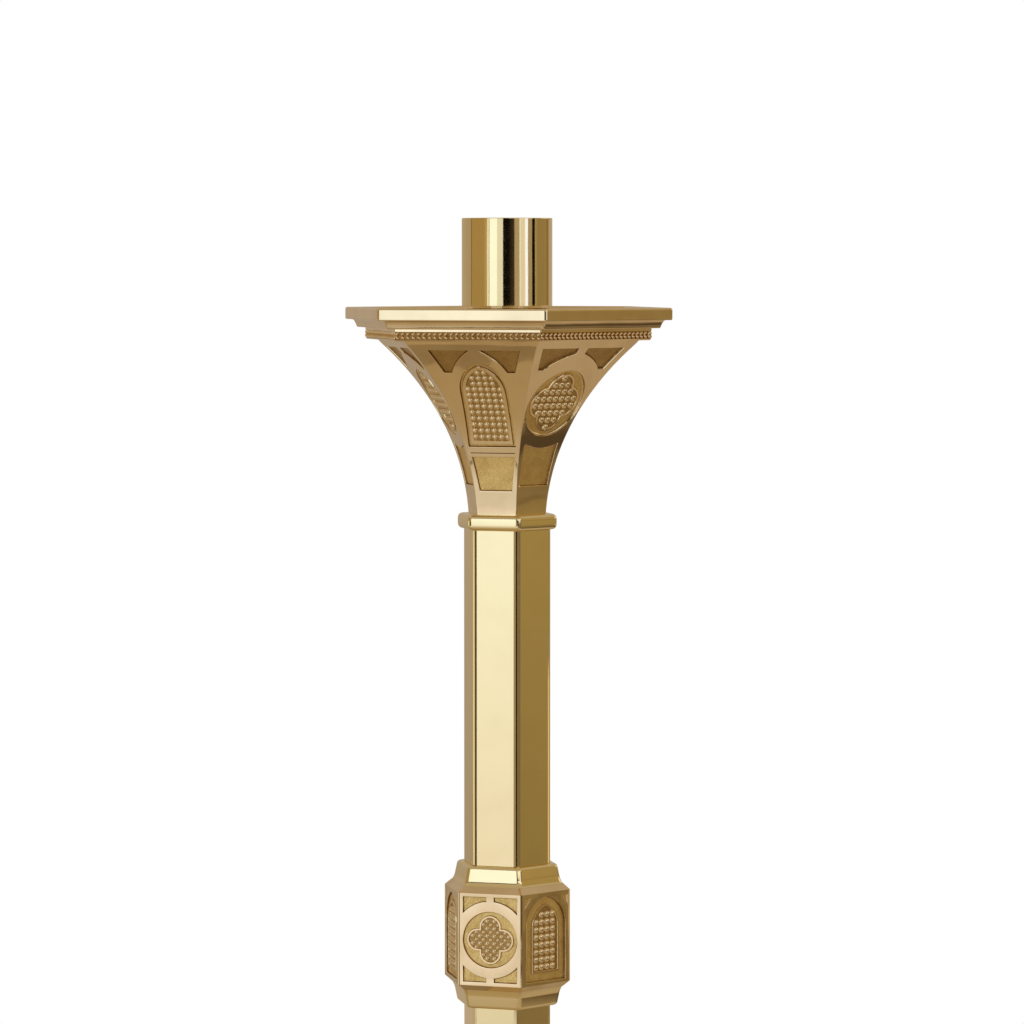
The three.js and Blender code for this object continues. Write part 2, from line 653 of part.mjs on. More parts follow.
// The outlines sunk into one face of a knop's body, quatrefoil roundels and lancets by turns
function knopPanels(low) {
  const height = KNOP_PANEL_HEIGHT;
  const middle = low + height / 2;
  const up = (share) => low + share * height;
  const upper = knopRingCorner().map(([across, rise]) => [across, middle + rise]);
  const lower = knopRingCorner().map(([across, rise]) => [across, middle - rise]);
  const roundel = circleOutline(KNOP_QUATREFOIL.roundel * height, middle);
  const tip = [
    [KNOP_CORNER.inner * height, up(KNOP_CORNER.top)],
    [KNOP_CORNER.side * height, up(KNOP_CORNER.foot)],
    [KNOP_CORNER.side * height, up(KNOP_CORNER.top)],
  ];
  const roundelFace = [roundel, upper, lower, mirrored(upper), mirrored(lower)];
  const lancetFace = [lancetOutline(KNOP_LANCET, up, height), tip, mirrored(tip)];
  return (face) => (face % 2 === 0 ? roundelFace : lancetFace);
}

function makeKnop(name) {
  const reach = KNOP_SPIGOT_HEIGHT + collarHeight + SHAFT_SPIGOT_HEIGHT;
  const hole = rodHole(-reach, reach);
  const topCollar = hexagonal(collarOutline()).subtract(hole);
  const bottomCollar = hexagonal(flipped(collarOutline(), collarHeight)).subtract(hole);
  place(`${name}_bottom_collar`, bottomCollar, brass, levels[`${name}_bottom_collar`]);
  place(`${name}_top_collar`, topCollar, brass, levels[`${name}_top_collar`]);
  const low = KNOP_SLOPE_HEIGHT;
  const body = hexagonal([
    [knopBoreRadius, 0],
    [collarBaseRadius, 0],
    [knopRadius, low],
    [knopRadius, low + KNOP_PANEL_HEIGHT],
    [collarBaseRadius, knopBodyHeight],
    [knopBoreRadius, knopBodyHeight],
  ]);
  const coreRadius = knopRadius - KNOP_RELIEF * CORNER;
  const core = hexagonal(block(coreRadius, 0, knopBodyHeight));
  const carved = sinkPanels(body, core, knopPanels(low), coreRadius / 2, knopRadius);
  place(`${name}_body`, carved, brass, levels[`${name}_body`]);
}

function makeFlaredFoot() {
  const neckUp = flareProfile(FOOT_NECK_RADIUS, FOOT_FLARE_RADIUS, FOOT_FLARE_HEIGHT);
  const fromFloor = flipped(neckUp, FOOT_FLARE_HEIGHT);
  const shell = hexagonal(flipped(flareShell(neckUp, FOOT_WALL, FOOT_WEB), FOOT_FLARE_HEIGHT));
  const core = hexagonal([[0, 0], ...offsetProfile(fromFloor, FLARE_RELIEF), [0, FOOT_FLARE_HEIGHT]]);
  const start = FOOT_NECK_RADIUS / 2;
  const carved = sinkPanels(shell, core, footPanels(fromFloor), start, FOOT_FLARE_RADIUS);
  const hole = rodHole(FOOT_FLARE_HEIGHT - FOOT_WEB, FOOT_FLARE_HEIGHT);
  place('base_flare', carved.subtract(hole), brass, levels.base_flare);
}

// Three screws, in the middle of the ledge behind every second face
const screwCircle = (rebateRadius + lowerCavityRadius) / 2 / CORNER;
const screwPlaces = [0, 2, 4].map((face) => {
  const angle = FRONT_FACE + face * FACE_STEP;
  return [screwCircle * Math.cos(angle), screwCircle * Math.sin(angle), 0];
});

function drilled(body) {
  const depth = SCREW_LENGTH + SCREW_TIP_PLAY;
  const hole = cylinder(SCREW_RADIUS + SCREW_HOLE_PLAY, -OVERCUT, depth, SCREW_SEGMENTS);
  return screwPlaces.reduce((rest, at) => rest.subtract(hole.translate(at)), body);
}

// The plinth: a stepped hexagonal shell with a web on top and a rebate for its cover
function makePlinth() {
  const stepLow = PLINTH_FASCIA_HEIGHT;
  const coveLow = stepLow + PLINTH_STEP_HEIGHT;
  const neckLow = plinthHeight - PLINTH_NECK_HEIGHT;
  const round = PLINTH_EDGE_ROUND;
  const rebate = COVER_THICKNESS + BED;
  const pull = [
    plinthNeckRadius + PLINTH_COVE_PULL.run * PLINTH_COVE_RUN,
    coveLow + PLINTH_COVE_PULL.rise * (neckLow - coveLow),
  ];
  const plinth = hexagonal([
    [rebateRadius, 0],
    [plinthRadius, 0],
    [plinthRadius, stepLow - round],
    [plinthRadius - round, stepLow],
    [plinthStepRadius, stepLow],
    [plinthStepRadius, coveLow - round],
    [plinthStepRadius - round, coveLow],
    ...curve([[plinthCoveRadius, coveLow], pull, [plinthNeckRadius, neckLow]], ARC_STEPS),
    [plinthNeckRadius, plinthHeight],
    [0, plinthHeight],
    [0, plinthWebLow],
    [upperCavityRadius, plinthWebLow],
    [upperCavityRadius, stepLow - round],
    [lowerCavityRadius, stepLow - round],
    [lowerCavityRadius, rebate],
    [rebateRadius, rebate],
  ]);
  const bored = plinth.subtract(rodHole(plinthWebLow, plinthHeight));
  place('base_plinth', drilled(bored), brass, levels.base_plinth);
}

function makeCover() {
  const coverRadius = rebateRadius - COVER_PLAY * CORNER;
  const cover = hexagonal(block(coverRadius, 0, COVER_THICKNESS));
  place('cover_plate', drilled(cover), blackSteel, levels.base_plinth);
  const headLow = -SCREW_HEAD_HEIGHT - BED;
  const screw = turned([
    [0, headLow], [SCREW_HEAD_RADIUS, headLow], [SCREW_HEAD_RADIUS, -BED],
    [SCREW_RADIUS, -BED], [SCREW_RADIUS, SCREW_LENGTH], [0, SCREW_LENGTH],
  ], SCREW_SEGMENTS);
  screwPlaces.forEach((at, i) => {
    place(`cover_screw_${i + 1}`, screw.translate(at), steel, levels.base_plinth);
  });
}

// The weight in the foot, and the tie rod that clamps everything from there up to the socket
function makeWeightAndRod() {
  const ballast = hexagonal(block(upperCavityRadius - BALLAST_PLAY * CORNER, 0, BALLAST_THICKNESS));
  place('ballast_weight', ballast.subtract(rodHole(0, BALLAST_THICKNESS)), iron, levels.ballast_weight);
  makeNut('base_nut', levels.base_nut_washer, levels.base_nut);
  const rodLow = levels.base_nut - ROD_STICKOUT;
  const rodHigh = levels.candle_socket + ROD_ENGAGEMENT;
  place('tie_rod', cylinder(ROD_RADIUS, 0, rodHigh - rodLow, HOLE_SEGMENTS), steel, rodLow);
}

function makePads() {
  const padCircle = rebateRadius - PAD_INSET;
  for (let corner = 0; corner < FACES; corner += 1) {
    const angle = corner * FACE_STEP;
    const pad = cylinder(PAD_RADIUS, 0, PAD_HEIGHT, HOLE_SEGMENTS);
    const at = [padCircle * Math.cos(angle), padCircle * Math.sin(angle), 0];
    place(`base_pad_${corner + 1}`, pad.translate(at), rubber, 0);
  }
}

makeSocket();
makePan();
makeMouldings();
makeCapital();
makeAstragals();
makeShafts();
makeKnop('knop_upper');
makeKnop('knop_lower');
makeFlaredFoot();
makePlinth();
makeCover();
makeWeightAndRod();
makePads();

export default candlestick;
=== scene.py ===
"""Floor candlestick: polished and satin brass pieces dressed on a fixed frame of solids.

Lengths are in metres. Radii of six-sided pieces are measured across their corners. Two opposite
corners of every piece lie on the X axis, so the front face looks along -Y.
"""

import json
import math

import bmesh
import bpy
from bpy.props import FloatProperty, FloatVectorProperty, PointerProperty
from mathutils import Matrix, Vector

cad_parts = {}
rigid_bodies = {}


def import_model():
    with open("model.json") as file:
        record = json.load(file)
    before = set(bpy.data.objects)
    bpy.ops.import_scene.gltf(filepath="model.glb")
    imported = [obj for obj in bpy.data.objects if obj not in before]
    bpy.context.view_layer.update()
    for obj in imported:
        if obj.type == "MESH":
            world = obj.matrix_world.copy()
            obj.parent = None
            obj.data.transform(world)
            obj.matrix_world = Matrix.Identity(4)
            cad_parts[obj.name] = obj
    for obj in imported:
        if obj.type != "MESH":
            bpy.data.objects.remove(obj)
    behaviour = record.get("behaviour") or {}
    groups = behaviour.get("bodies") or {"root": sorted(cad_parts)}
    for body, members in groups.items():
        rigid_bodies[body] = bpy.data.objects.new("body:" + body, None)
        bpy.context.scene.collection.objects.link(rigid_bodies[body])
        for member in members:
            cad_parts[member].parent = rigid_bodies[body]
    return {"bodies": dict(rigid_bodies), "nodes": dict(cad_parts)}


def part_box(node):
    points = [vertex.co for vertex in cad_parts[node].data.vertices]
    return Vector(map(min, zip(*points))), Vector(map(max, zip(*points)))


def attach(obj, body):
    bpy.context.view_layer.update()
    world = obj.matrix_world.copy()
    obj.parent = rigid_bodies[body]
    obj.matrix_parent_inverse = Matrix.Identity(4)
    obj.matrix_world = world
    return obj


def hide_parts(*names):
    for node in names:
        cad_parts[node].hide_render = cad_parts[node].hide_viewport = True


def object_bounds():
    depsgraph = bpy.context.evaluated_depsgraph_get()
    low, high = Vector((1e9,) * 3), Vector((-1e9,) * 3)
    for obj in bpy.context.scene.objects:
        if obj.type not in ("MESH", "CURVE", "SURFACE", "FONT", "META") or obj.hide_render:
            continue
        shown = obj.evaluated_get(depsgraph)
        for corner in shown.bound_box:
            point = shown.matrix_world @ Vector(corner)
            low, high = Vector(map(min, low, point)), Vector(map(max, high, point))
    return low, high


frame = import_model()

bl_info = {
    "name": "Floor Candlestick",
    "version": (1, 0, 0),
    "blender": (4, 5, 0),
    "location": "3D View > Sidebar > Candlestick",
    "description": "Dresses a hexagonal gothic floor candlestick in polished and satin brass",
    "category": "Add Mesh",
}

CAD_LOW, CAD_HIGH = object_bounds()

MM = 0.001
FACES = 6
FACE_ANGLE = math.tau / FACES
APOTHEM = math.cos(FACE_ANGLE / 2)
SAME_POINT = 1e-6
SHARP = math.radians(36)
SEAM_TURN = 1e-3
SEAM_ANGLE = 0.15
UPRIGHT = 0.9

# Places in a casting's list of materials; the groove and the shaded ground are darker brass painted as
# shade
POLISHED, GROUND, GROOVE, PAINTED_SHADE = range(4)

# Steps of the carving: each strip's run in millimetres, share of the depth and finish
LIP = ((0.22, -0.07, POLISHED), (0.14, -0.23, POLISHED))
# Walls and lines in the groove finish are darker brass painted as shade in the recesses
DARK_WALL = ((0.12, -0.45, GROOVE), (0.16, -0.25, GROOVE))
BRIGHT_WALL = (
    (0.10, -0.25, GROOVE), (0.20, -0.22, POLISHED), (0.25, -0.15, POLISHED), (0.30, -0.08, POLISHED))
NICK = ((0.35, -0.4, POLISHED),)
THIN_LINE = ((0.12, -0.3, GROOVE),)
RIM_WALL = ((0.1, 0.12, GROOVE), (0.1, 0.63, POLISHED), (0.2, 0.25, POLISHED))

# How the hollow curves pull, as shares of the rise and the run that each one spans
FLARE_MOUTH_PULL = {"rise": 0.0125, "spread": 1.015}
FLARE_NECK_PULL = {"rise": 0.363, "spread": 0.081}
SPANDREL_PULL = {"rise": 0.45, "run": 0.78}
COVE_PULL = {"rise": 0.43, "run": 0.22}
PLINTH_PULL = {"rise": 0.11, "run": 0.06}

# Windows and panels of a flare, as shares of its height, with near and far from its wide end. A
# window's rim is a share of the relief's depth, and its first column and its beads of the pitch
LANCET = {
    "apex": 0.128, "spring": 0.298, "sill": 0.612, "half": 0.1435, "rim": 0.75,
    "columns": 6, "first": -2.5}
LANCET_SPANDREL = {
    "near": 0.05, "drop": 0.008, "far": 0.186, "inner": 0.03, "foot": 0.162, "margin": 0.09}
ROUNDEL = {
    "centre": 0.358, "radius": 0.1915, "lobe": 0.09, "reach": 0.077, "spread": 1.085, "rim": 0.7,
    "wall": BRIGHT_WALL, "columns": 7, "first": -3, "bead": 0.46, "between": 0}
ROUNDEL_SPANDREL = {
    "near": 0.04, "drop": 0.036, "far": 0.168, "inner": 0.03, "foot": 0.21, "margin": 0.052}
NECK_UNDER_LANCET = {"near": 0.666, "far": 0.866, "dip": 0, "margin": 0.021, "foot_margin": 0.028}
NECK_UNDER_ROUNDEL = {"near": 0.588, "far": 0.837, "dip": 0.028, "margin": 0.036, "foot_margin": 0.018}
SILL_LEDGE = {"near": 0.641, "far": 0.646, "dip": 0, "margin": 0.024, "foot_margin": 0.024}
FOOT_LANCET = {**LANCET, "sill": 0.09, "spring": 0.44, "apex": 0.605, "half": 0.14}
FOOT_SIDE_PANEL = {"near": 0.06, "far": 0.3, "inner": 0.19, "margin": 0.045}

# Thickness of a flare's floor, in thicknesses of its wall
FLOOR_WALLS = 2.6

# Panels of a knop, as shares of its panelled height
KNOP_ROUNDEL = {
    "radius": 0.311, "lobe": 0.127, "reach": 0.141, "spread": 1, "rim": 0.7,
    "wall": DARK_WALL, "columns": 6, "first": -2.5, "bead": 0.38, "between": 0.31}
KNOP_RING = {"ring": 0.413, "strap": 0.038, "border": 0.05, "frame": 0.032}
KNOP_LANCET = {
    "sill": 0.034, "spring": 0.635, "apex": 0.967, "half": 0.292, "rim": 0.75,
    "columns": 4, "first": -1.7}
KNOP_CORNER = {"top": 0.95, "side": 0.318, "inner": 0.222, "foot": 0.84}

# How far a bead's centre stays inside its field and a first row above it, as shares of its radius
LANCET_MARGIN = 0.1
ROUNDEL_MARGIN = 0.35
FIRST_ROW = 0.95

# The pieces that each ring lies between, below and above, and the gap that it keeps to them
NEIGHBOURS = {
    "upper_astragal": ("shaft_upper", "capital"),
    "base_astragal": ("base_flare", "shaft_lower"),
    "knop_upper_top_collar": ("knop_upper_body", "shaft_upper"),
    "knop_upper_bottom_collar": ("shaft_middle", "knop_upper_body"),
    "knop_lower_top_collar": ("knop_lower_body", "shaft_middle"),
    "knop_lower_bottom_collar": ("shaft_lower", "knop_lower_body"),
}
GAP = 0.02 * MM

# Rounded corners: rings as shares of a stem tube's, the rest as shares of a casting's
NECK_RING_CORNER = 0.8
KNOP_RING_CORNER = 0.75
WIDE_CORNER = 1.4
BEADING_CORNER = 0.6

# How far up a neck ring's half round bends, as a share of the ring's height
RING_TURN = 0.38

# How finely curves are drawn
ARC_STEPS = 14
LOBE_STEPS = 12
CIRCLE_STEPS = 48
ROUND_STEPS = 5
BULGE_STEPS = 18
TURNED_STEPS = 128
CORNER_STEPS = 4
INSIDE_STEPS = 12
HALVINGS = 40
SLOPE_STEP = 1e-3
STRIP_HEIGHT = 1.8 * MM
PANEL_ROUND = 0.9 * MM
BEAD_SEGMENTS = 12
BEAD_RINGS = 4


def quantity(name, amount, description, **kind):
    return FloatProperty(name=name, description=description, default=amount, **kind)


def length(name, millimetres, description):
    """A length property that is given in millimetres and kept in metres."""
    return quantity(name, millimetres * MM, description, unit="LENGTH", precision=5)


def share(name, amount, description):
    return quantity(name, amount, description, min=0, max=2, subtype="FACTOR")


def colour(name, shade, description):
    return FloatVectorProperty(
        name=name, description=description, default=shade, size=3, min=0, max=1, subtype="COLOR")


class StemSizes(bpy.types.PropertyGroup):
    """Plain six-sided pieces: stem tubes, rings, pan and plinth."""
    tube_wall: length("Tube wall", 2, "Thickness of the stem tubes")
    tube_corner: length("Tube corner", 4.6, "Radius of the stem tubes' corners")
    cast_corner: length("Casting corner", 1.7, "Radius of the corners of the cast pieces")
    edge: length("Edge", 0.3, "Round on the ends of the tubes")
    rod_hole: length("Rod hole", 5.6, "Radius of the hole that the tie rod passes")
    ledge: length("Ring ledge", 3.9, "How far a knop's ring stands out from the stem")
    ring_round: length("Ring round", 1.8, "Height of the rounded shoulder of a knop's ring")
    ring_face: length("Ring face", 4.4, "Height of the flat face of a knop's ring")
    ring_draft: length("Ring draft", 1.4, "How much the ring's face widens downwards")
    cove_run: length("Cove run", 2.0, "How far a knop ring's cove spreads")
    bulge: length("Neck ring bulge", 3.2, "How far a neck ring's half round stands out")
    fillet: length("Neck ring fillet", 0.5, "Ledge between a neck ring and the stem")


class ReliefSizes(bpy.types.PropertyGroup):
    """Sunk panels and windows of the castings."""
    depth: length("Depth", 1.2, "How deep the satin grounds lie")
    flare_wall: length("Flare wall", 4.5, "Thickness of the flared castings")
    capital_neck: length("Capital neck", 23.4, "Radius of the capital's neck")
    foot_neck: length("Foot neck", 24, "Radius of the foot's neck")
    window_band: length("Window band", 0.9, "Satin band round a flare's lancet")
    window_rim: length("Window rim", 1.7, "Flat of the raised rim round a flare's lancet")
    knop_band: length("Knop band", 4.1, "Satin band round a knop's lancet")
    thin_rim: length("Thin rim", 0.85, "Flat of the thin raised rims")
    slope: length("Knop slope", 3.4, "Height of the slopes above and below a knop's panels")
    slope_run: length("Knop slope run", 4.2, "How far those slopes spread")
    lancet_pitch: length("Lancet pitch", 3.84, "Distance between beads in a capital's lancet")
    roundel_pitch: length("Roundel pitch", 4.64, "Distance between beads in a capital's roundel")
    knop_pitch: length("Knop pitch", 4.31, "Distance between beads in a knop's panels")
    bead_share: share("Bead size", 0.48, "Radius of a bead as a share of its pitch")
    bead_height: share("Bead height", 0.7, "Height of a bead as a share of its radius")


class BeadingSizes(bpy.types.PropertyGroup):
    """The plaited beads on the mouldings."""
    pitch: length("Pitch", 3.16, "Distance between the chevrons of beads")
    bead_length: length("Bead length", 3.0, "Length of one slanted bead")
    bead_width: length("Bead width", 1.75, "Width of one slanted bead")
    bead_rise: length("Bead rise", 1.15, "How far a bead stands out of its band")
    row_offset: length("Row offset", 1.05, "Height of each row above or below the middle")
    tilt: quantity("Tilt", math.radians(36), "Slant of the beads", subtype="ANGLE")
    fillet: length("Fillet", 1.6, "Plain fillet beside the beads")
    band: length("Band", 4.3, "Height of the band that holds the beads")
    sink: length("Sink", 0.7, "How deep the band lies behind the fillet")
    seat: length("Seat", 12.2, "How far the moulding reaches in from its edge")
    overhang: length("Overhang", 7.4, "How far the moulding stands out from the flare")


class BrassFinish(bpy.types.PropertyGroup):
    """Colours and polish of the brass."""
    tube: colour("Tube brass", (0.90, 0.765, 0.455), "Drawn and turned brass of stem, pan and socket")
    cast: colour("Cast brass", (0.87, 0.71, 0.46), "Cast brass of capital, knops and foot")
    ground: colour("Satin ground", (0.92, 0.70, 0.30), "Sanded brass in the sunk panels")
    # Painted shade: the dark colour of the walls, the thin lines and the band behind the moulding's
    # beads
    groove: colour("Groove", (0.15, 0.08, 0.025), "Darkened brass along the panel walls")
    polish: share("Roughness", 0.06, "Roughness of the polished faces")
    # Painted shade: the satin ground in a darker colour, for the spandrels and the fields between the
    # beads, where shade falls
    painted_shade: colour("Shaded ground", (0.58, 0.41, 0.17), "Sanded brass that old polish has dulled")
    satin: share("Satin roughness", 0.44, "Roughness of the sanded grounds")
    stipple: length("Stipple", 0.7, "Size of the grain on the sanded grounds")
    tarnish: share("Tarnish", 0.16, "How much darker the tarnished clouds are")


class StageSettings(bpy.types.PropertyGroup):
    """Floor, light and camera."""
    floor: colour("Floor", (0.88, 0.88, 0.87), "Colour of the floor")
    floor_radius: quantity("Floor radius", 1.7, "Radius of the floor disc", unit="LENGTH")
    daylight: share("Room light", 0.7, "Strength of the white room on matt surfaces")
    key: quantity("Key lamp", 34, "Power of the soft lamp at the front left", unit="POWER")
    lens: quantity("Lens", 152.96, "Focal length on a 36 mm sensor", unit="CAMERA")


# Facts of the packed model

def body_of_node(node):
    """The name of the body that carries a node."""
    carrier = frame["nodes"][node].parent
    return next(name for name, body in frame["bodies"].items() if body == carrier)


def levels_of(node):
    """Lowest and highest level of a node; a ring fills the space between its neighbours."""
    if node in NEIGHBOURS:
        below, above = NEIGHBOURS[node]
        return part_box(below)[1].z + GAP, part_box(above)[0].z - GAP
    low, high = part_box(node)
    return low.z, high.z


def node_size(node):
    """Radius across corners and height of a node."""
    low, high = levels_of(node)
    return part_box(node)[1].x, high - low


def stem_radius():
    """Radius of the stem across its corners before they are rounded, from its flat faces."""
    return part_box("shaft_upper")[1].y / APOTHEM


# Outlines, as lists of (radius, level) or (across, level)

def curve_point(points, t):
    """A point of a curve that has three or four control points."""
    order = len(points) - 1
    weights = [math.comb(order, i) * t ** i * (1 - t) ** (order - i) for i in range(order + 1)]
    return tuple(sum(w * p[axis] for w, p in zip(weights, points)) for axis in (0, 1))


def bezier(points, steps):
    return [curve_point(points, step / steps) for step in range(steps + 1)]


def rounded(before, corner, after, size, steps=ROUND_STEPS):
    """An outline's corner, rounded off by a length along both its sides."""
    here = Vector(corner)
    start = here + (Vector(before) - here).normalized() * size
    end = here + (Vector(after) - here).normalized() * size
    return bezier([tuple(start), corner, tuple(end)], steps)


def soften(outline, sizes):
    """Rounds some corners of a closed outline; sizes gives a length for the number of a point."""
    made = []
    for number, point in enumerate(outline):
        size = sizes.get(number, 0)
        after = outline[(number + 1) % len(outline)]
        made += rounded(outline[number - 1], point, after, size) if size else [point]
    return made


def upended(outline, height):
    return [(radius, height - level) for radius, level in reversed(outline)]


def raised(outline, by):
    return [(radius, level + by) for radius, level in outline]


def mirrored(outline):
    return [(-across, level) for across, level in reversed(outline)]


def pointed_arch(plan, size, up):
    """A lancet: a level sill and two arcs that meet at the apex."""
    half = plan["half"] * size
    sill, spring, apex = (up(plan[place]) for place in ("sill", "spring", "apex"))
    rise = apex - spring
    shift = (rise * rise - half * half) / (2 * half)
    reach = half + shift
    turns = [math.atan2(rise, shift) * step / ARC_STEPS for step in range(ARC_STEPS)]
    side = [(reach * math.cos(turn) - shift, spring + reach * math.sin(turn)) for turn in turns]
    return [(half, sill), *side, (0, apex), *mirrored(side), (-half, sill)]


def circle(radius, centre):
    turns = [math.tau * step / CIRCLE_STEPS for step in range(CIRCLE_STEPS)]
    return [(radius * math.cos(turn), centre + radius * math.sin(turn)) for turn in turns]


def quatrefoil(reach, lobe, centre):
    """Four lobes round a centre, each a circle's arc from one crossing to the next."""
    crossing = (reach + math.sqrt(2 * lobe * lobe - reach * reach)) / 2
    spread = math.atan2(crossing, crossing - reach)
    points = []
    for quarter in range(4):
        facing = quarter * math.tau / 4
        middle = Vector((math.cos(facing), math.sin(facing))) * reach
        for step in range(LOBE_STEPS):
            turn = facing + spread * (2 * step / LOBE_STEPS - 1)
            points.append((middle.x + lobe * math.cos(turn), centre + middle.y + lobe * math.sin(turn)))
    return points


def spandrel(plan, up, edge, height):
    """The panel between an arch and a flare's corner, with a short upright side near the middle."""
    inner, foot = plan["inner"] * height, plan["foot"] * height
    start = plan["near"] + plan["drop"]
    middle = inner + SPANDREL_PULL["run"] * (foot - inner)
    sag = up(start + SPANDREL_PULL["rise"] * (plan["far"] - start))
    arch = bezier([(foot, up(plan["far"])), (middle, sag), (inner, up(start))], ARC_STEPS)
    margin = plan["margin"] * height
    sides = [(edge(plan[end]) - margin, up(plan[end])) for end in ("near", "far")]
    return arch + [(inner, up(plan["near"]))] + sides


def neck_panel(plan, up, edge, height):
    """A panel that narrows to the neck, with a level or a hollow wide side."""
    near = edge(plan["near"]) - plan["margin"] * height
    far = edge(plan["far"]) - plan["foot_margin"] * height
    ends = [(-near, up(plan["near"])), (near, up(plan["near"]))]
    dip = (0, up(plan["near"] + 2 * plan["dip"]))
    wide = bezier([ends[0], dip, ends[1]], ARC_STEPS) if plan["dip"] else ends
    foot = [(far, up(plan["far"])), (-far, up(plan["far"]))]
    size = PANEL_ROUND if abs(up(plan["far"]) - up(plan["near"])) > 4 * PANEL_ROUND else 0
    return soften(wide + foot, {len(wide): size, len(wide) + 1: size})


def clearance(point, outline):
    """How far a point lies inside a closed outline; below zero when it lies outside."""
    x, y = point
    inside = False
    nearest = math.inf
    for (ax, ay), (bx, by) in zip(outline, outline[1:] + outline[:1]):
        if (ay > y) != (by > y) and x < ax + (bx - ax) * (y - ay) / (by - ay):
            inside = not inside
        run, rise = bx - ax, by - ay
        t = max(0, min(1, ((x - ax) * run + (y - ay) * rise) / (run * run + rise * rise)))
        nearest = min(nearest, math.hypot(ax + t * run - x, ay + t * rise - y))
    return nearest if inside else -nearest


# Six-sided turned pieces

def spin_outline(bm, outline, steps, closed=True):
    """Turns an outline of (radius, level) round the Z axis in equal steps."""
    verts = [bm.verts.new((radius, 0, level)) for radius, level in outline]
    pairs = list(zip(verts, verts[1:]))
    if closed:
        pairs.append((verts[-1], verts[0]))
    edges = [bm.edges.new(pair) for pair in pairs]
    bmesh.ops.spin(bm, geom=verts + edges, axis=(0, 0, 1), cent=(0, 0, 0), angle=math.tau,
                   steps=steps, use_merge=True)


def merge_and_face_out(bm):
    bmesh.ops.remove_doubles(bm, verts=bm.verts, dist=SAME_POINT)
    bmesh.ops.recalc_face_normals(bm, faces=bm.faces)
    bm.normal_update()


def is_corner_seam(edge):
    """True where two faces meet along a corner that stands out."""
    first, second = (vert.co.xy for vert in edge.verts)
    if min(first.length, second.length) < MM or not edge.is_manifold or not edge.is_convex:
        return False
    turn = math.atan2(first.y, first.x) / FACE_ANGLE
    on_corner = abs(turn - round(turn)) < SEAM_TURN and abs(first.angle(second)) < SEAM_TURN
    return on_corner and edge.calc_face_angle() > SEAM_ANGLE


def round_corners(bm, radius):
    """Rounds the upright corners of a six-sided piece to a radius."""
    seams = [edge for edge in bm.edges if is_corner_seam(edge)]
    bmesh.ops.bevel(bm, geom=seams, offset=radius * math.tan(FACE_ANGLE / 2), offset_type="OFFSET",
                    segments=CORNER_STEPS, profile=0.5, affect="EDGES", clamp_overlap=True, material=-1)


def six_sided(outline, corner):
    """A closed six-sided piece from its outline, with rounded corners."""
    bm = bmesh.new()
    spin_outline(bm, outline, FACES)
    merge_and_face_out(bm)
    round_corners(bm, corner)
    return bm


def mesh_of(name, bm):
    """Makes a mesh of a bmesh and frees the bmesh."""
    mesh = bpy.data.meshes.new(name)
    bm.to_mesh(mesh)
    bm.free()
    return mesh


def add_object(name, bm, materials):
    mesh = mesh_of(name, bm)
    for material in materials:
        mesh.materials.append(material)
    made = bpy.data.objects.new(name, mesh)
    bpy.context.scene.collection.objects.link(made)
    return made


def finish_piece(name, bm, materials, node):
    """Makes a piece that stands at its node's level, rides on its body and shades evenly."""
    bmesh.ops.translate(bm, verts=bm.verts, vec=(0, 0, levels_of(node)[0]))
    piece = add_object(name, bm, materials)
    piece.data.shade_smooth()
    piece.data.set_sharp_from_angle(angle=SHARP)
    piece.modifiers.new("Even shading", "WEIGHTED_NORMAL").keep_sharp = True
    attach(piece, body_of_node(node))
    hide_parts(node)


# Relief castings: each face is carved flat and then bent round the casting

def loop_edges(bm, loop):
    return [bm.edges.get(pair) for pair in zip(loop, loop[1:] + loop[:1])]


def add_loop(bm, outline, rise=0.0):
    """A closed loop of edges through flat points of (across, level)."""
    loop = [bm.verts.new((across, level, rise)) for across, level in outline]
    for pair in zip(loop, loop[1:] + loop[:1]):
        bm.edges.new(pair)
    return loop


def face_up(faces):
    for face in faces:
        face.normal_update()
        if face.normal.z < 0:
            face.normal_flip()


def fill_between(bm, loops, finish):
    """Fills the flat space between an outer loop and the loops that lie in it."""
    edges = [edge for loop in loops for edge in loop_edges(bm, loop)]
    made = bmesh.ops.triangle_fill(bm, edges=edges, use_beauty=True, normal=(0, 0, 1))
    faces = [part for part in made["geom"] if isinstance(part, bmesh.types.BMFace)]
    face_up(faces)
    for face in faces:
        face.material_index = finish


def fill_loop(bm, loop):
    face = bm.faces.new(loop)
    face_up([face])
    return face


def inset(bm, face, run, rise, finish):
    """Insets a flat face and gives the strip round it a finish."""
    made = bmesh.ops.inset_region(bm, faces=[face], thickness=run, depth=rise,
                                  use_boundary=True, use_even_offset=True)
    for strip in made["faces"]:
        strip.material_index = finish


def carve(bm, face, steps, depth):
    for run, part, finish in steps:
        inset(bm, face, run * MM, part * depth, finish)


def add_rim(bm, face, flat, rise):
    """Raises a rim inside a face: up a short wall, across the flat, and down on its far side."""
    carve(bm, face, RIM_WALL, rise)
    inset(bm, face, flat, 0, POLISHED)
    carve(bm, face, RIM_WALL[::-1], -rise)
    # The field inside the rim takes the shaded ground: painted shade between the beads
    face.material_index = PAINTED_SHADE


def bead_grid(face, start, pitch, climb, margin, columns):
    """Bead centres in square rows on a face, above and below a starting level."""
    outline = [(vert.co.x, vert.co.y) for vert in face.verts]
    low, high = min(level for _, level in outline), max(level for _, level in outline)
    rows = []
    for way, level in ((1, start), (-1, start - pitch * climb(start))):
        while low < level < high:
            rows.append(level)
            level += way * pitch * climb(level)
    places = [(column * pitch, level) for level in rows for column in columns]
    return [place for place in places if clearance(place, outline) > margin]


def columns_of(plan):
    return [plan["first"] + number for number in range(plan["columns"])]


def panel(steps, depth, finish):
    """A window without beads."""
    def make(bm, face):
        carve(bm, face, steps, depth)
        face.material_index = finish
        return []
    return make


def both_sides(outline, make):
    return [(outline, make), (mirrored(outline), make)]


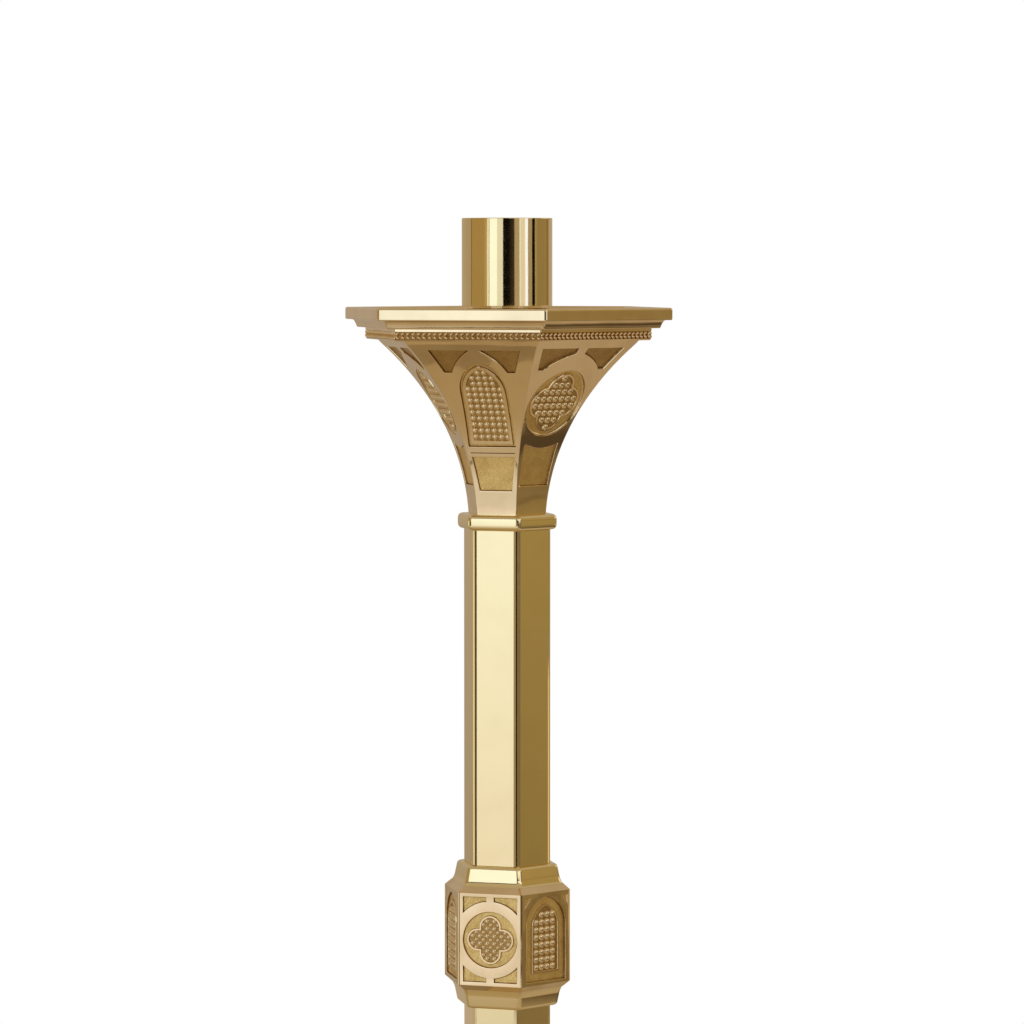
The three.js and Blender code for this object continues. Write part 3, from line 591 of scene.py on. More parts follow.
def lancet(relief, plan, size, up, band, rim, pitch, climb):
    """A lancet window: a satin band, a raised rim and a field of beads."""
    def make(bm, face):
        carve(bm, face, LIP + DARK_WALL, relief.depth)
        inset(bm, face, band, 0, GROUND)
        add_rim(bm, face, rim, plan["rim"] * relief.depth)
        radius = relief.bead_share * pitch
        first = min(vert.co.y for vert in face.verts) + FIRST_ROW * radius
        spots = bead_grid(face, first, pitch, climb, LANCET_MARGIN * radius, columns_of(plan))
        return [(*spot, -relief.depth, radius) for spot in spots]
    return pointed_arch(plan, size, up), make


def roundel(relief, plan, size, centre, pitch, climb):
    """A roundel: a satin disc with a raised quatrefoil rim round a field of beads."""
    def stretched(outline):
        return [(across * plan["spread"], level) for across, level in outline]

    def make(bm, face):
        carve(bm, face, LIP + plan["wall"], relief.depth)
        disc = list(face.verts)
        bmesh.ops.delete(bm, geom=[face], context="FACES_ONLY")
        outline = quatrefoil(plan["reach"] * size, plan["lobe"] * size, centre)
        foil = add_loop(bm, stretched(outline), -relief.depth)
        fill_between(bm, [disc, foil], GROUND)
        face = fill_loop(bm, foil)
        add_rim(bm, face, relief.thin_rim, plan["rim"] * relief.depth)
        columns = columns_of(plan)
        halfway = [column + 0.5 for column in columns[:-1]] if plan["between"] else []
        beads = []
        for first, across, part in ((centre + pitch * climb(centre) / 2, columns, plan["bead"]),
                                    (centre, halfway, plan["between"])):
            radius = part * pitch
            spots = bead_grid(face, first, pitch, climb, ROUNDEL_MARGIN * radius, across)
            beads += [(*spot, -relief.depth, radius) for spot in spots]
        return beads
    return stretched(circle(plan["radius"] * size, centre)), make


def relief_sheet(levels, half_width, windows):
    """One face of a casting, unrolled: X is across, Y is the level and Z is the relief.

    A window is an outline and a function that carves it and returns the beads in it. The sheet
    is cut along the levels, so that it can bend there, and is whole at both its plain ends."""
    bm = bmesh.new()
    right = [(half_width(level), level) for level in levels]
    border = add_loop(bm, right + mirrored(right))
    loops = [add_loop(bm, outline) for outline, _ in windows]
    fill_between(bm, [border, *loops], POLISHED)
    beads = []
    for loop, (_, make) in zip(loops, windows):
        beads += make(bm, fill_loop(bm, loop))
    for level in levels[1:-1]:
        whole = [*bm.verts, *bm.edges, *bm.faces]
        bmesh.ops.bisect_plane(bm, geom=whole, plane_co=(0, level, 0), plane_no=(0, 1, 0),
                               dist=SAME_POINT)
    for low, high in (levels[:2], levels[-2:]):
        plain = [face for face in bm.faces if low < face.calc_center_median().y < high]
        bmesh.ops.dissolve_faces(bm, faces=plain)
    return bm, beads


def bent(surface, across, level, rise):
    """Where a point of a flat sheet lies on the front face of a casting."""
    radius, out, up = surface(level)
    return Vector((across, -(radius * APOTHEM + rise * out), level + rise * up))


def bead_shape():
    """The upper half of a ball of radius 1, closed underneath."""
    bm = bmesh.new()
    quarter = [(math.sin(turn), 0, math.cos(turn))
               for turn in (math.pi / 2 * ring / BEAD_RINGS for ring in range(BEAD_RINGS + 1))]
    verts = [bm.verts.new(point) for point in quarter]
    edges = [bm.edges.new(pair) for pair in zip(verts, verts[1:])]
    bmesh.ops.spin(bm, geom=verts + edges, axis=(0, 0, 1), cent=(0, 0, 0), angle=math.tau,
                   steps=BEAD_SEGMENTS, use_merge=True)
    merge_and_face_out(bm)
    rim = [edge for edge in bm.edges if edge.is_boundary]
    bmesh.ops.contextual_create(bm, geom=rim)
    return mesh_of("bead", bm)


def add_beads(bm, places):
    """Adds half balls; a place is a matrix with a bead's centre, axes and half sizes."""
    mesh = bead_shape()
    for place in places:
        mesh.transform(place)
        bm.from_mesh(mesh)
        mesh.transform(place.inverted())
    bpy.data.meshes.remove(mesh)


def bend_sheet(sheet, beads, surface, rise_share):
    """Bends a carved sheet into the front face and sets its beads."""
    for vert in sheet.verts:
        vert.co = bent(surface, *vert.co)
    places = []
    for across, level, rise, radius in beads:
        _, out, up = surface(level)
        axes = Matrix(((1, 0, 0), (0, up, -out), (0, out, up))).to_4x4()
        centre = Matrix.Translation(bent(surface, across, level, rise))
        places.append(centre @ axes @ Matrix.Diagonal((radius, radius, rise_share * radius, 1)))
    add_beads(sheet, places)


def add_turned(bm, part, first, step):
    """Adds copies of a bmesh on every face, or on every second one, and frees it."""
    mesh = mesh_of("one face", part)
    mesh.transform(Matrix.Rotation(first * FACE_ANGLE, 4, "Z"))
    for _ in range(0, FACES, step):
        bm.from_mesh(mesh)
        mesh.transform(Matrix.Rotation(step * FACE_ANGLE, 4, "Z"))
    bpy.data.meshes.remove(mesh)


def casting(relief, surface, levels, front, side, inside, corner):
    """A six-sided casting with two kinds of carved face by turns, closed by an inner outline."""
    bm = bmesh.new()
    half = math.tan(FACE_ANGLE / 2) * APOTHEM
    for windows, first in ((front, 0), (side, 1)):
        sheet, beads = relief_sheet(levels, lambda level: surface(level)[0] * half, windows)
        bend_sheet(sheet, beads, surface, relief.bead_height)
        add_turned(bm, sheet, first, 2)
    spin_outline(bm, inside, FACES, closed=False)
    merge_and_face_out(bm)
    round_corners(bm, corner)
    return bm


def flare_surface(neck, mouth, height, mouth_up):
    """A function of the level that gives a flare's radius and its outward normal."""
    spread = mouth - neck
    handles = [
        (mouth, height),
        (neck + spread * FLARE_MOUTH_PULL["spread"], height * (1 - FLARE_MOUTH_PULL["rise"])),
        (neck + spread * FLARE_NECK_PULL["spread"], height * (1 - FLARE_NECK_PULL["rise"])),
        (neck, 0),
    ]
    found = {}

    def surface(level):
        key = round(level / SAME_POINT)
        if key not in found:
            above_neck = level if mouth_up else height - level
            low, high = 0.0, 1.0
            for _ in range(HALVINGS):
                middle = (low + high) / 2
                if curve_point(handles, middle)[1] > above_neck:
                    low = middle
                else:
                    high = middle
            t = (low + high) / 2
            before = curve_point(handles, max(0, t - SLOPE_STEP))
            after = curve_point(handles, min(1, t + SLOPE_STEP))
            run, rise = (before[0] - after[0]) * APOTHEM, before[1] - after[1]
            size = math.hypot(run, rise)
            found[key] = (curve_point(handles, t)[0], rise / size, (-run if mouth_up else run) / size)
        return found[key]
    return surface


def even_levels(height):
    count = round(height / STRIP_HEIGHT)
    return [height * step / count for step in range(count + 1)]


def flare_faces(relief, surface, height, up, is_capital):
    """The windows of the two kinds of face; up turns a share from the wide end into a level.

    The foot's lancets stand upright too, so panels fill the room beside their sills."""
    def edge(amount):
        return surface(up(amount))[0] / 2

    def climb(level):
        return surface(level)[1]

    scale = height / node_size("capital")[1]
    # The spandrels take the shaded ground: darker brass painted as the shade near the flare's wide end
    plain, painted_shade = (panel(LIP + DARK_WALL, relief.depth, finish) for finish in (GROUND, PAINTED_SHADE))
    front = [
        (neck_panel(SILL_LEDGE, up, edge, height), panel(THIN_LINE, relief.depth, GROOVE)),
        (neck_panel(NECK_UNDER_LANCET, up, edge, height), plain),
    ]
    if is_capital:
        front = both_sides(spandrel(LANCET_SPANDREL, up, edge, height), painted_shade) + front
    else:
        near, far = up(FOOT_SIDE_PANEL["near"]), up(FOOT_SIDE_PANEL["far"])
        inner = FOOT_SIDE_PANEL["inner"] * height
        wide = edge(FOOT_SIDE_PANEL["near"]) - FOOT_SIDE_PANEL["margin"] * height
        front += both_sides([(inner, near), (wide, near), (inner, far)], plain)
    front.append(lancet(
        relief, LANCET if is_capital else FOOT_LANCET, height, up, relief.window_band * scale,
        relief.window_rim * scale, relief.lancet_pitch * scale, climb))
    side = [
        roundel(relief, ROUNDEL, height, up(ROUNDEL["centre"]), relief.roundel_pitch * scale, climb),
        *both_sides(spandrel(ROUNDEL_SPANDREL, up, edge, height), painted_shade),
        (neck_panel(NECK_UNDER_ROUNDEL, up, edge, height), plain),
    ]
    return front, side


def flare_inside(surface, height, wall, hole, mouth_up):
    """Outline of a flare's inner wall, from its mouth edge to its neck edge."""
    floor = FLOOR_WALLS * wall
    outline = []
    for step in range(INSIDE_STEPS + 1):
        level = height - (height - floor) * step / INSIDE_STEPS
        outline.append((surface(level if mouth_up else height - level)[0] - wall / APOTHEM, level))
    mouth, neck = (surface(level)[0] for level in ((height, 0) if mouth_up else (0, height)))
    outline = [(mouth, height), *outline, (hole, floor), (hole, 0), (neck, 0)]
    return outline if mouth_up else [(radius, height - level) for radius, level in outline]


def make_flare(relief, stem, node, neck, mouth_up):
    """The capital, with its mouth up, or the foot, with its mouth down."""
    mouth, height = node_size(node)
    surface = flare_surface(neck, mouth, height, mouth_up)

    def up(amount):
        return height * (1 - amount if mouth_up else amount)

    front, side = flare_faces(relief, surface, height, up, mouth_up)
    inside = flare_inside(surface, height, relief.flare_wall, stem.rod_hole, mouth_up)
    return casting(relief, surface, even_levels(height), front, side, inside, stem.cast_corner)


def knop_ring_corner(height, radius):
    """A corner panel outside the ring round a knop's roundel."""
    ring, strap = KNOP_RING["ring"] * height, KNOP_RING["strap"] * height
    side = radius / 2 - KNOP_RING["border"] * height
    reach = height / 2 - KNOP_RING["frame"] * height
    first, last = math.acos(side / ring), math.acos(strap / ring)
    steps = ARC_STEPS // 2
    turns = [first + (last - first) * step / steps for step in range(steps + 1)]
    return [(ring * math.cos(turn), ring * math.sin(turn)) for turn in turns] + [
        (strap, reach), (side, reach)]


def make_knop(relief, stem, node):
    radius, height = node_size(node)
    slope, neck = relief.slope, radius - relief.slope_run
    panelled, middle = height - 2 * slope, height / 2

    def surface(level):
        into = min(level, height - level, slope)
        return neck + relief.slope_run * into / slope, 1.0, 0.0

    def up(amount):
        return slope + amount * panelled

    def climb(_):
        return 1.0

    plain = panel(LIP + DARK_WALL, relief.depth, GROUND)
    quarter = knop_ring_corner(panelled, radius)
    lower = [(across, middle - level) for across, level in quarter]
    front = [
        roundel(relief, KNOP_ROUNDEL, panelled, middle, relief.knop_pitch, climb),
        *both_sides(raised(quarter, middle), plain),
        *both_sides(lower, plain),
    ]
    inner, outer = KNOP_CORNER["inner"] * panelled, KNOP_CORNER["side"] * panelled
    top, foot = up(KNOP_CORNER["top"]), up(KNOP_CORNER["foot"])
    side = [
        *both_sides([(inner, top), (outer, top), (outer, foot)], panel(NICK, relief.depth, GROUND)),
        lancet(relief, KNOP_LANCET, panelled, up, relief.knop_band, relief.thin_rim,
               relief.knop_pitch, climb),
    ]
    inside = [(neck, height), (stem.rod_hole, height), (stem.rod_hole, 0), (neck, 0)]
    levels = [0, slope, height - slope, height]
    return casting(relief, surface, levels, front, side, inside, stem.cast_corner)


# Plain pieces, from level 0 up

def make_tube(stem, node):
    height = node_size(node)[1]
    radius = stem_radius()
    bore = radius - stem.tube_wall / APOTHEM
    outline = [(bore, 0), (radius, 0), (radius, height), (bore, height)]
    return six_sided(soften(outline, {1: stem.edge, 2: stem.edge}), stem.tube_corner)


def make_neck_ring(stem, node):
    """A half-round ring between a stem tube and a flare."""
    height = node_size(node)[1]
    shoulder = stem_radius() + stem.fillet
    face = shoulder + stem.bulge
    lower = bezier([(shoulder, 0), (face, 0), (face, RING_TURN * height)], BULGE_STEPS // 2)
    side = lower + upended(lower, height)
    return six_sided([(stem.rod_hole, 0), *side, (stem.rod_hole, height)],
                     NECK_RING_CORNER * stem.tube_corner)


def make_knop_ring(stem, node, is_upper):
    """The ring above or below a knop: shoulder, face and a cove that spreads to the knop."""
    height = node_size(node)[1]
    inner = stem_radius()
    top = inner + stem.ledge
    lip = top + stem.ring_draft
    cove = height - stem.ring_round - stem.ring_face
    pull = (lip + COVE_PULL["run"] * stem.cove_run, COVE_PULL["rise"] * cove)
    outline = [
        (stem.rod_hole, 0),
        *bezier([(lip + stem.cove_run, 0), pull, (lip, cove)], ROUND_STEPS * 2),
        *rounded((lip, cove), (top, height), (inner, height), stem.ring_round),
        (stem.rod_hole, height),
    ]
    return six_sided(outline if is_upper else upended(outline, height),
                     KNOP_RING_CORNER * stem.tube_corner)


def make_pan(stem, beading):
    """The drip pan: a dish with a rounded fascia, a step, a slant and a skirt underneath."""
    radius, top = node_size("drip_pan")
    low = levels_of("drip_pan")[0]
    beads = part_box("capital_bead_moulding")[1]
    washer_low, washer_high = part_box("socket_washer")
    under = beads.z + GAP - low
    slant = beads.x + 5.4 * MM
    soffit = under + 4.6 * MM
    deep = 2.4 * MM
    dish = top - deep
    rim = radius - 5 * MM
    boss = (washer_high.x + 2 * MM) / APOTHEM
    boss_top = washer_low.z - GAP - low
    skirt = beads.x - beading.seat - 0.35 * MM
    wall = 4 * MM
    outline = [
        (stem.rod_hole, dish - wall),
        (skirt - wall, dish - wall),
        (skirt - wall, 0),
        (skirt, 0),
        (skirt, under),
        (slant, under),
        (slant + 0.65 * MM, under + 1.9 * MM),
        (slant + 1.9 * MM, under + 4 * MM),
        (slant + 3.2 * MM, soffit),
        (radius, soffit),
        (radius, top),
        (rim, top),
        (rim - deep, dish),
        (boss + deep, dish),
        (boss, boss_top),
        (stem.rod_hole, boss_top),
    ]
    rounds = (0.8, 0.9, 0.7, 0.4, 0.9, 1.4, 0.8, 1.2, 1.2, 0.5)
    sizes = {number: size * MM for number, size in enumerate(rounds, outline.index((slant, under)))}
    return six_sided(soften(outline, sizes), WIDE_CORNER * stem.cast_corner)


def make_socket():
    """The candle socket: a thin turned tube with a rounded rim."""
    radius, height = node_size("socket_tube")
    bore = radius - 1.2 * MM
    outline = [(bore, 0), (radius, 0), (radius, height), (bore, height)]
    bm = bmesh.new()
    spin_outline(bm, soften(outline, {1: 0.3 * MM, 2: 0.45 * MM, 3: 0.45 * MM}), TURNED_STEPS)
    merge_and_face_out(bm)
    return bm


def make_plinth(stem):
    """The stepped plinth, hollow underneath round the ballast."""
    radius, height = node_size("base_plinth")
    fascia, ballast_top = 18.5 * MM, 17 * MM
    recess, recess_top = radius - 8 * MM, 2.02 * MM
    step, step_top = radius - 8 * MM, fascia + 7 * MM
    cove = step - 8 * MM
    neck, neck_low = cove - 16 * MM, height - 7 * MM
    hollow, neck_hollow, roof = radius - 20 * MM, neck - 6 * MM, height - 8 * MM
    pull = (neck + PLINTH_PULL["run"] * (cove - neck),
            step_top + PLINTH_PULL["rise"] * (neck_low - step_top))
    outline = [
        (recess, recess_top),
        (recess, 0),
        (radius, 0),
        (radius, fascia),
        (step, fascia),
        (step, step_top),
        *bezier([(cove, step_top), pull, (neck, neck_low)], ARC_STEPS),
        (neck, height),
        (stem.rod_hole, height),
        (stem.rod_hole, roof),
        (neck_hollow, roof),
        (neck_hollow, ballast_top),
        (hollow, ballast_top),
        (hollow, recess_top),
    ]
    top_edge = outline.index((neck, height))
    sizes = {1: 0.4 * MM, 2: 1.5 * MM, 3: 2 * MM, 5: 1.6 * MM, top_edge: 1 * MM}
    return six_sided(soften(outline, sizes), WIDE_CORNER * stem.cast_corner)


def make_beading(beading, stem, node, flare_above):
    """A moulding ring with a plait of slanted beads on each of its six sides."""
    radius, height = node_size(node)
    inner, flare = radius - beading.seat, radius - beading.overhang
    ground = radius - beading.sink / APOTHEM
    band_top = height - beading.fillet
    band_low = band_top - beading.band
    lip, wall = 0.9 * MM, 0.12 * MM
    outline = [
        (inner, 0),
        (flare, 0),
        (radius - lip, band_low - lip),
        (radius, band_low),
        (ground, band_low + wall),
        (ground, band_top - wall),
        (radius, band_top),
        (radius, height),
        (inner, height),
    ]
    outline = soften(outline, {6: 0.15 * MM, 7: 0.25 * MM})
    bm = six_sided(upended(outline, height) if flare_above else outline,
                   BEADING_CORNER * stem.cast_corner)
    bm.normal_update()
    middle = (band_low + band_top) / 2
    middle = height - middle if flare_above else middle
    # The band behind the beads takes the groove colour: painted shade between the beads
    for face in bm.faces:
        centre = face.calc_center_median()
        if abs(centre.z - middle) < beading.band / 2 and face.normal.xy.length > UPRIGHT:
            face.material_index = GROOVE if centre.xy.length > ground * APOTHEM - MM else POLISHED
    half_sizes = (beading.bead_length / 2, beading.bead_width / 2, beading.bead_rise)
    count = round(radius / beading.pitch)
    places = []
    for number in range(count):
        across = (number + 0.5 - count / 2) * radius / count
        for row in (-1, 1):
            centre = Vector((across, -ground * APOTHEM, middle + row * beading.row_offset))
            slant = Matrix.Rotation(-row * beading.tilt, 4, "Y")
            axes = Matrix.Rotation(math.pi / 2, 4, "X")
            sized = Matrix.Diagonal((*half_sizes, 1))
            places.append(Matrix.Translation(centre) @ slant @ axes @ sized)
    one_side = bmesh.new()
    add_beads(one_side, places)
    add_turned(bm, one_side, 0, 1)
    return bm


# Materials

def fill(tree, socket, value):
    """Sets an input, or links it where the value is a socket."""
    if isinstance(value, bpy.types.NodeSocket):
        tree.links.new(value, socket)
    else:
        socket.default_value = value


def feed(tree, node, **values):
    for name, value in values.items():
        fill(tree, node.inputs[name.replace("_", " ")], value)
    return node


def add_node(tree, kind, **values):
    return feed(tree, tree.nodes.new("ShaderNode" + kind), **values)


def calculate(tree, kind, operation, *values):
    """The outputs of a Math or VectorMath node for some sockets and numbers."""
    node = tree.nodes.new("ShaderNode" + kind)
    node.operation = operation
    for socket, value in zip(node.inputs, values):
        fill(tree, socket, value)
    return node.outputs


def mix_shaders(tree, factor, *shaders):
    mixed = add_node(tree, "MixShader", Fac=factor)
    for socket, shader in zip(mixed.inputs[1:], shaders):
        tree.links.new(shader.outputs[0], socket)
    return mixed.outputs[0]


def new_material(name):
    """A material with its tree, its shader and its object coordinates."""
    material = bpy.data.materials.new(name)
    material.use_nodes = True
    tree = material.node_tree
    where = tree.nodes.new("ShaderNodeTexCoord").outputs["Object"]
    return material, tree, tree.nodes["Principled BSDF"], where


def noise(tree, coordinates, size, detail=3.0, stretch=(1, 1, 1)):
    """Noise with features of about one size in metres; stretch draws them out along an axis."""
    mapping = add_node(tree, "Mapping", Vector=coordinates, Scale=[1 / amount for amount in stretch])
    texture = add_node(tree, "TexNoise", Vector=mapping.outputs["Vector"], Scale=1 / size,
                       Detail=detail)
    return texture.outputs["Fac"]


def between(tree, factor, low, high, start=0.3, end=0.7):
    """Turns a factor into a number from low to high."""
    node = add_node(tree, "MapRange", Value=factor, From_Min=start, From_Max=end, To_Min=low,
                    To_Max=high)
    return node.outputs["Result"]


def blend_colours(tree, factor, first, second):
    node = add_node(tree, "Mix", Factor=factor)
    node.data_type = "RGBA"
    for socket, value in ((node.inputs[6], first), (node.inputs[7], second)):
        socket.default_value = (*value, 1)
    return node.outputs[2]


def darker(shade, amount):
    return [channel * (1 - amount * weight) for channel, weight in zip(shade, (0.8, 1.0, 1.3))]


def bump(tree, height, strength, distance, **before):
    node = add_node(tree, "Bump", Height=height, Strength=strength, Distance=distance, **before)
    return node.outputs["Normal"]


def polished_brass(name, shade, finish, grain, clouds, waviness):
    """Buffed brass: clouds of faint tarnish, fine polishing lines and a slight waviness."""
    material, tree, shader, where = new_material(name)
    tint = between(tree, noise(tree, where, 22 * MM, 4), 0, 1, 0.45, 0.8)
    rough = noise(tree, where, 6 * MM, 5)
    lines = noise(tree, where, 0.5 * MM, 2, grain)
    wave = bump(tree, noise(tree, where, 35 * MM, 1), 1, waviness)
    feed(tree, shader, Metallic=1,
         Base_Color=blend_colours(tree, tint, shade, darker(shade, clouds * finish.tarnish)),
         Roughness=between(tree, rough, 0.7 * finish.polish, 1.6 * finish.polish),
         Normal=bump(tree, lines, 0.05, 0.01 * MM, Normal=wave))
    return material


def satin_ground(name, shade, finish):
    """Sanded brass in the sunk panels, with a fine stipple and darker pits."""
    material, tree, shader, where = new_material(name)
    grain = noise(tree, where, finish.stipple, 2)
    patches = between(tree, noise(tree, where, 7 * MM, 3), 0.1, 0.3)
    mixed = calculate(tree, "Math", "MULTIPLY_ADD", grain, 0.6, patches)[0]
    tint = between(tree, mixed, 1, 0, 0.25, 0.65)
    feed(tree, shader, Metallic=1,
         Base_Color=blend_colours(tree, tint, shade, darker(shade, 0.42)),
         Roughness=between(tree, grain, 1.15 * finish.satin, 0.85 * finish.satin),
         Normal=bump(tree, grain, 0.7, 0.25 * finish.stipple))
    return material


def painted_groove_shade(name, shade, finish):
    """Darker brass painted as shade along the walls of the panels, in the thin lines and behind the
    beads of the mouldings.
    """
    material, tree, shader, where = new_material(name)
    spots = noise(tree, where, 1.5 * MM, 3)
    lighter = [min(1, 2.6 * channel) for channel in shade]
    feed(tree, shader, Metallic=1, Roughness=0.35,
         Base_Color=blend_colours(tree, between(tree, spots, 0, 1), shade, lighter),
         Normal=bump(tree, spots, 0.2, 0.05 * MM))
    return material


def hardware(name, shade, roughness, metallic, grain, depth):
    """A plain finish with a grain of one size: zinc, cast iron, paint or rubber."""
    material, tree, shader, where = new_material(name)
    texture = noise(tree, where, grain, 4)
    feed(tree, shader, Metallic=metallic,
         Base_Color=blend_colours(tree, between(tree, texture, 0, 1), shade, darker(shade, 0.3)),
         Roughness=between(tree, texture, 0.85 * roughness, 1.2 * roughness),
         Normal=bump(tree, texture, 0.5, depth))
    return material


def cast_set(finish):
    """The materials of the castings, in the order of their places, made once."""
    known = bpy.data.materials
    if "cast_brass" in known:
        return [known[name] for name in ("cast_brass", "satin_ground", "painted_groove_shade", "shade_painted_ground")]
    return [
        polished_brass("cast_brass", finish.cast, finish, (1, 1, 6), 1, 0.6 * MM),
        satin_ground("satin_ground", finish.ground, finish),
        painted_groove_shade("painted_groove_shade", finish.groove, finish),
        # The shaded ground is the satin ground in a darker colour: painted shade
        satin_ground("shade_painted_ground", finish.painted_shade, finish),
    ]


def tube_set(finish):
    known = bpy.data.materials.get("tube_brass")
    return [known or polished_brass("tube_brass", finish.tube, finish, (1, 1, 30), 0.3, 0.15 * MM)]


def paint_node(node, material):
    """Gives a hidden piece of the model itself a material."""
    node.data.materials.clear()
    node.data.materials.append(material)


# Finishes of the hidden pieces: shade, roughness, metal, size and depth of the grain in
# millimetres, and words in the names of the pieces
HARDWARE = (
    ("zinc_steel", (0.62, 0.62, 0.60), 0.3, 1, 0.8, 0.02, ("nut", "rod", "screw")),
    ("cast_iron", (0.09, 0.085, 0.08), 0.6, 0.7, 1.2, 0.3, ("ballast",)),
    ("black_paint", (0.03, 0.03, 0.03), 0.4, 0, 1.5, 0.05, ("cover_plate",)),
    ("rubber", (0.025, 0.024, 0.023), 0.75, 0, 0.6, 0.05, ("pad",)),
)


# Operators, one for each piece or group of like pieces

class CANDLESTICK_OT_socket(bpy.types.Operator):
    """Turn the candle socket and finish its floor and washer"""
    bl_idname = "candlestick.socket"
    bl_label = "Candle Socket"

    def execute(self, context):
        materials = tube_set(context.scene.candlestick_finish)
        finish_piece("candle_socket", make_socket(), materials, "socket_tube")
        for name in ("socket_floor", "socket_washer"):
            paint_node(frame["nodes"][name], materials[0])
        return {"FINISHED"}


class CANDLESTICK_OT_pan(bpy.types.Operator):
    """Shape the drip pan"""
    bl_idname = "candlestick.pan"
    bl_label = "Drip Pan"

    def execute(self, context):
        scene = context.scene
        bm = make_pan(scene.candlestick_stem, scene.candlestick_beading)
        finish_piece("stepped_drip_pan", bm, cast_set(scene.candlestick_finish), "drip_pan")
        return {"FINISHED"}


class CANDLESTICK_OT_beading(bpy.types.Operator):
    """Shape the two beaded mouldings"""
    bl_idname = "candlestick.beading"
    bl_label = "Beaded Mouldings"

    def execute(self, context):
        scene = context.scene
        materials = cast_set(scene.candlestick_finish)
        for name, node, above in (("capital_beading", "capital_bead_moulding", False),
                                  ("foot_beading", "base_bead_moulding", True)):
            bm = make_beading(scene.candlestick_beading, scene.candlestick_stem, node, above)
            finish_piece(name, bm, materials, node)
        return {"FINISHED"}


class CANDLESTICK_OT_flares(bpy.types.Operator):
    """Carve the capital and the flared foot"""
    bl_idname = "candlestick.flares"
    bl_label = "Capital and Foot"

    def execute(self, context):
        scene = context.scene
        relief, stem = scene.candlestick_relief, scene.candlestick_stem
        for name, node, neck, mouth_up in (("lancet_capital", "capital", relief.capital_neck, True),
                                           ("lancet_foot", "base_flare", relief.foot_neck, False)):
            bm = make_flare(relief, stem, node, neck, mouth_up)
            finish_piece(name, bm, cast_set(scene.candlestick_finish), node)
        return {"FINISHED"}


class CANDLESTICK_OT_knops(bpy.types.Operator):
    """Carve the two knops and shape the rings above and below them"""
    bl_idname = "candlestick.knops"
    bl_label = "Knops"

    def execute(self, context):
        scene = context.scene
        relief, stem = scene.candlestick_relief, scene.candlestick_stem
        cast, tube = cast_set(scene.candlestick_finish), tube_set(scene.candlestick_finish)
        for place in ("upper", "lower"):
            body = f"knop_{place}_body"
            finish_piece(f"{place}_knop", make_knop(relief, stem, body), cast, body)
            for end in ("top", "bottom"):
                node = f"knop_{place}_{end}_collar"
                ring = make_knop_ring(stem, node, end == "top")
                finish_piece(f"{place}_knop_{end}_ring", ring, tube, node)
        return {"FINISHED"}


class CANDLESTICK_OT_stem(bpy.types.Operator):
    """Shape the stem tubes and the half-round neck rings"""
    bl_idname = "candlestick.stem"
    bl_label = "Stem"

    def execute(self, context):
        scene = context.scene
        stem = scene.candlestick_stem
        materials = tube_set(scene.candlestick_finish)
        for place in ("lower", "middle", "upper"):
            node = f"shaft_{place}"
            finish_piece(f"{place}_stem_tube", make_tube(stem, node), materials, node)
        for place, node in (("upper", "upper_astragal"), ("foot", "base_astragal")):
            finish_piece(f"{place}_neck_ring", make_neck_ring(stem, node), materials, node)
        return {"FINISHED"}


class CANDLESTICK_OT_plinth(bpy.types.Operator):
    """Shape the plinth and finish the hidden pieces"""
    bl_idname = "candlestick.plinth"
    bl_label = "Plinth"

    def execute(self, context):
        materials = cast_set(context.scene.candlestick_finish)
        finish_piece("stepped_plinth", make_plinth(context.scene.candlestick_stem), materials,
                     "base_plinth")
        for name, shade, roughness, metallic, grain, depth, words in HARDWARE:
            material = hardware(name, shade, roughness, metallic, grain * MM, depth * MM)
            for node_name, node in frame["nodes"].items():
                if any(word in node_name for word in words):
                    paint_node(node, material)
        return {"FINISHED"}


# Stage: reflection cards by the direction that they stand in, floor, lamps and camera

CARD_RADIUS = 4.0
CARD_TOP = 3.0
GRADIENT_TOP = 0.9
INNER_EDGE = 0.01
FLOOR_STEPS = 96
FLOOR_FADE = (0.35, 0.98)
GREY_TAN = (0.47, 0.40, 0.33)
MID_TAN = (0.41, 0.32, 0.22)
BROWN_GOLD = (0.36, 0.25, 0.10)
LIGHT_GOLD = (0.52, 0.39, 0.15)
OLIVE = (0.31, 0.225, 0.098)
LIGHT_OLIVE = (0.40, 0.32, 0.18)
DARK_BROWN = (0.20, 0.13, 0.06)
BLACK = (0.006, 0.004, 0.003)
DARK_OLIVE = (0.05, 0.04, 0.026)
CREAM = (0.74, 0.69, 0.66)
DULL_WHITE = (0.70, 0.68, 0.62)
WHITE = (0.95, 0.98, 1.0)
EVEN = ((1, 1, 1), (1, 1, 1))
FADED = ((0.9, 0.9, 0.9), (1.1, 1.1, 1.1))
SOFTBOX = ((0.94, 0.84, 0.79), (1.19, 1.27, 1.38))

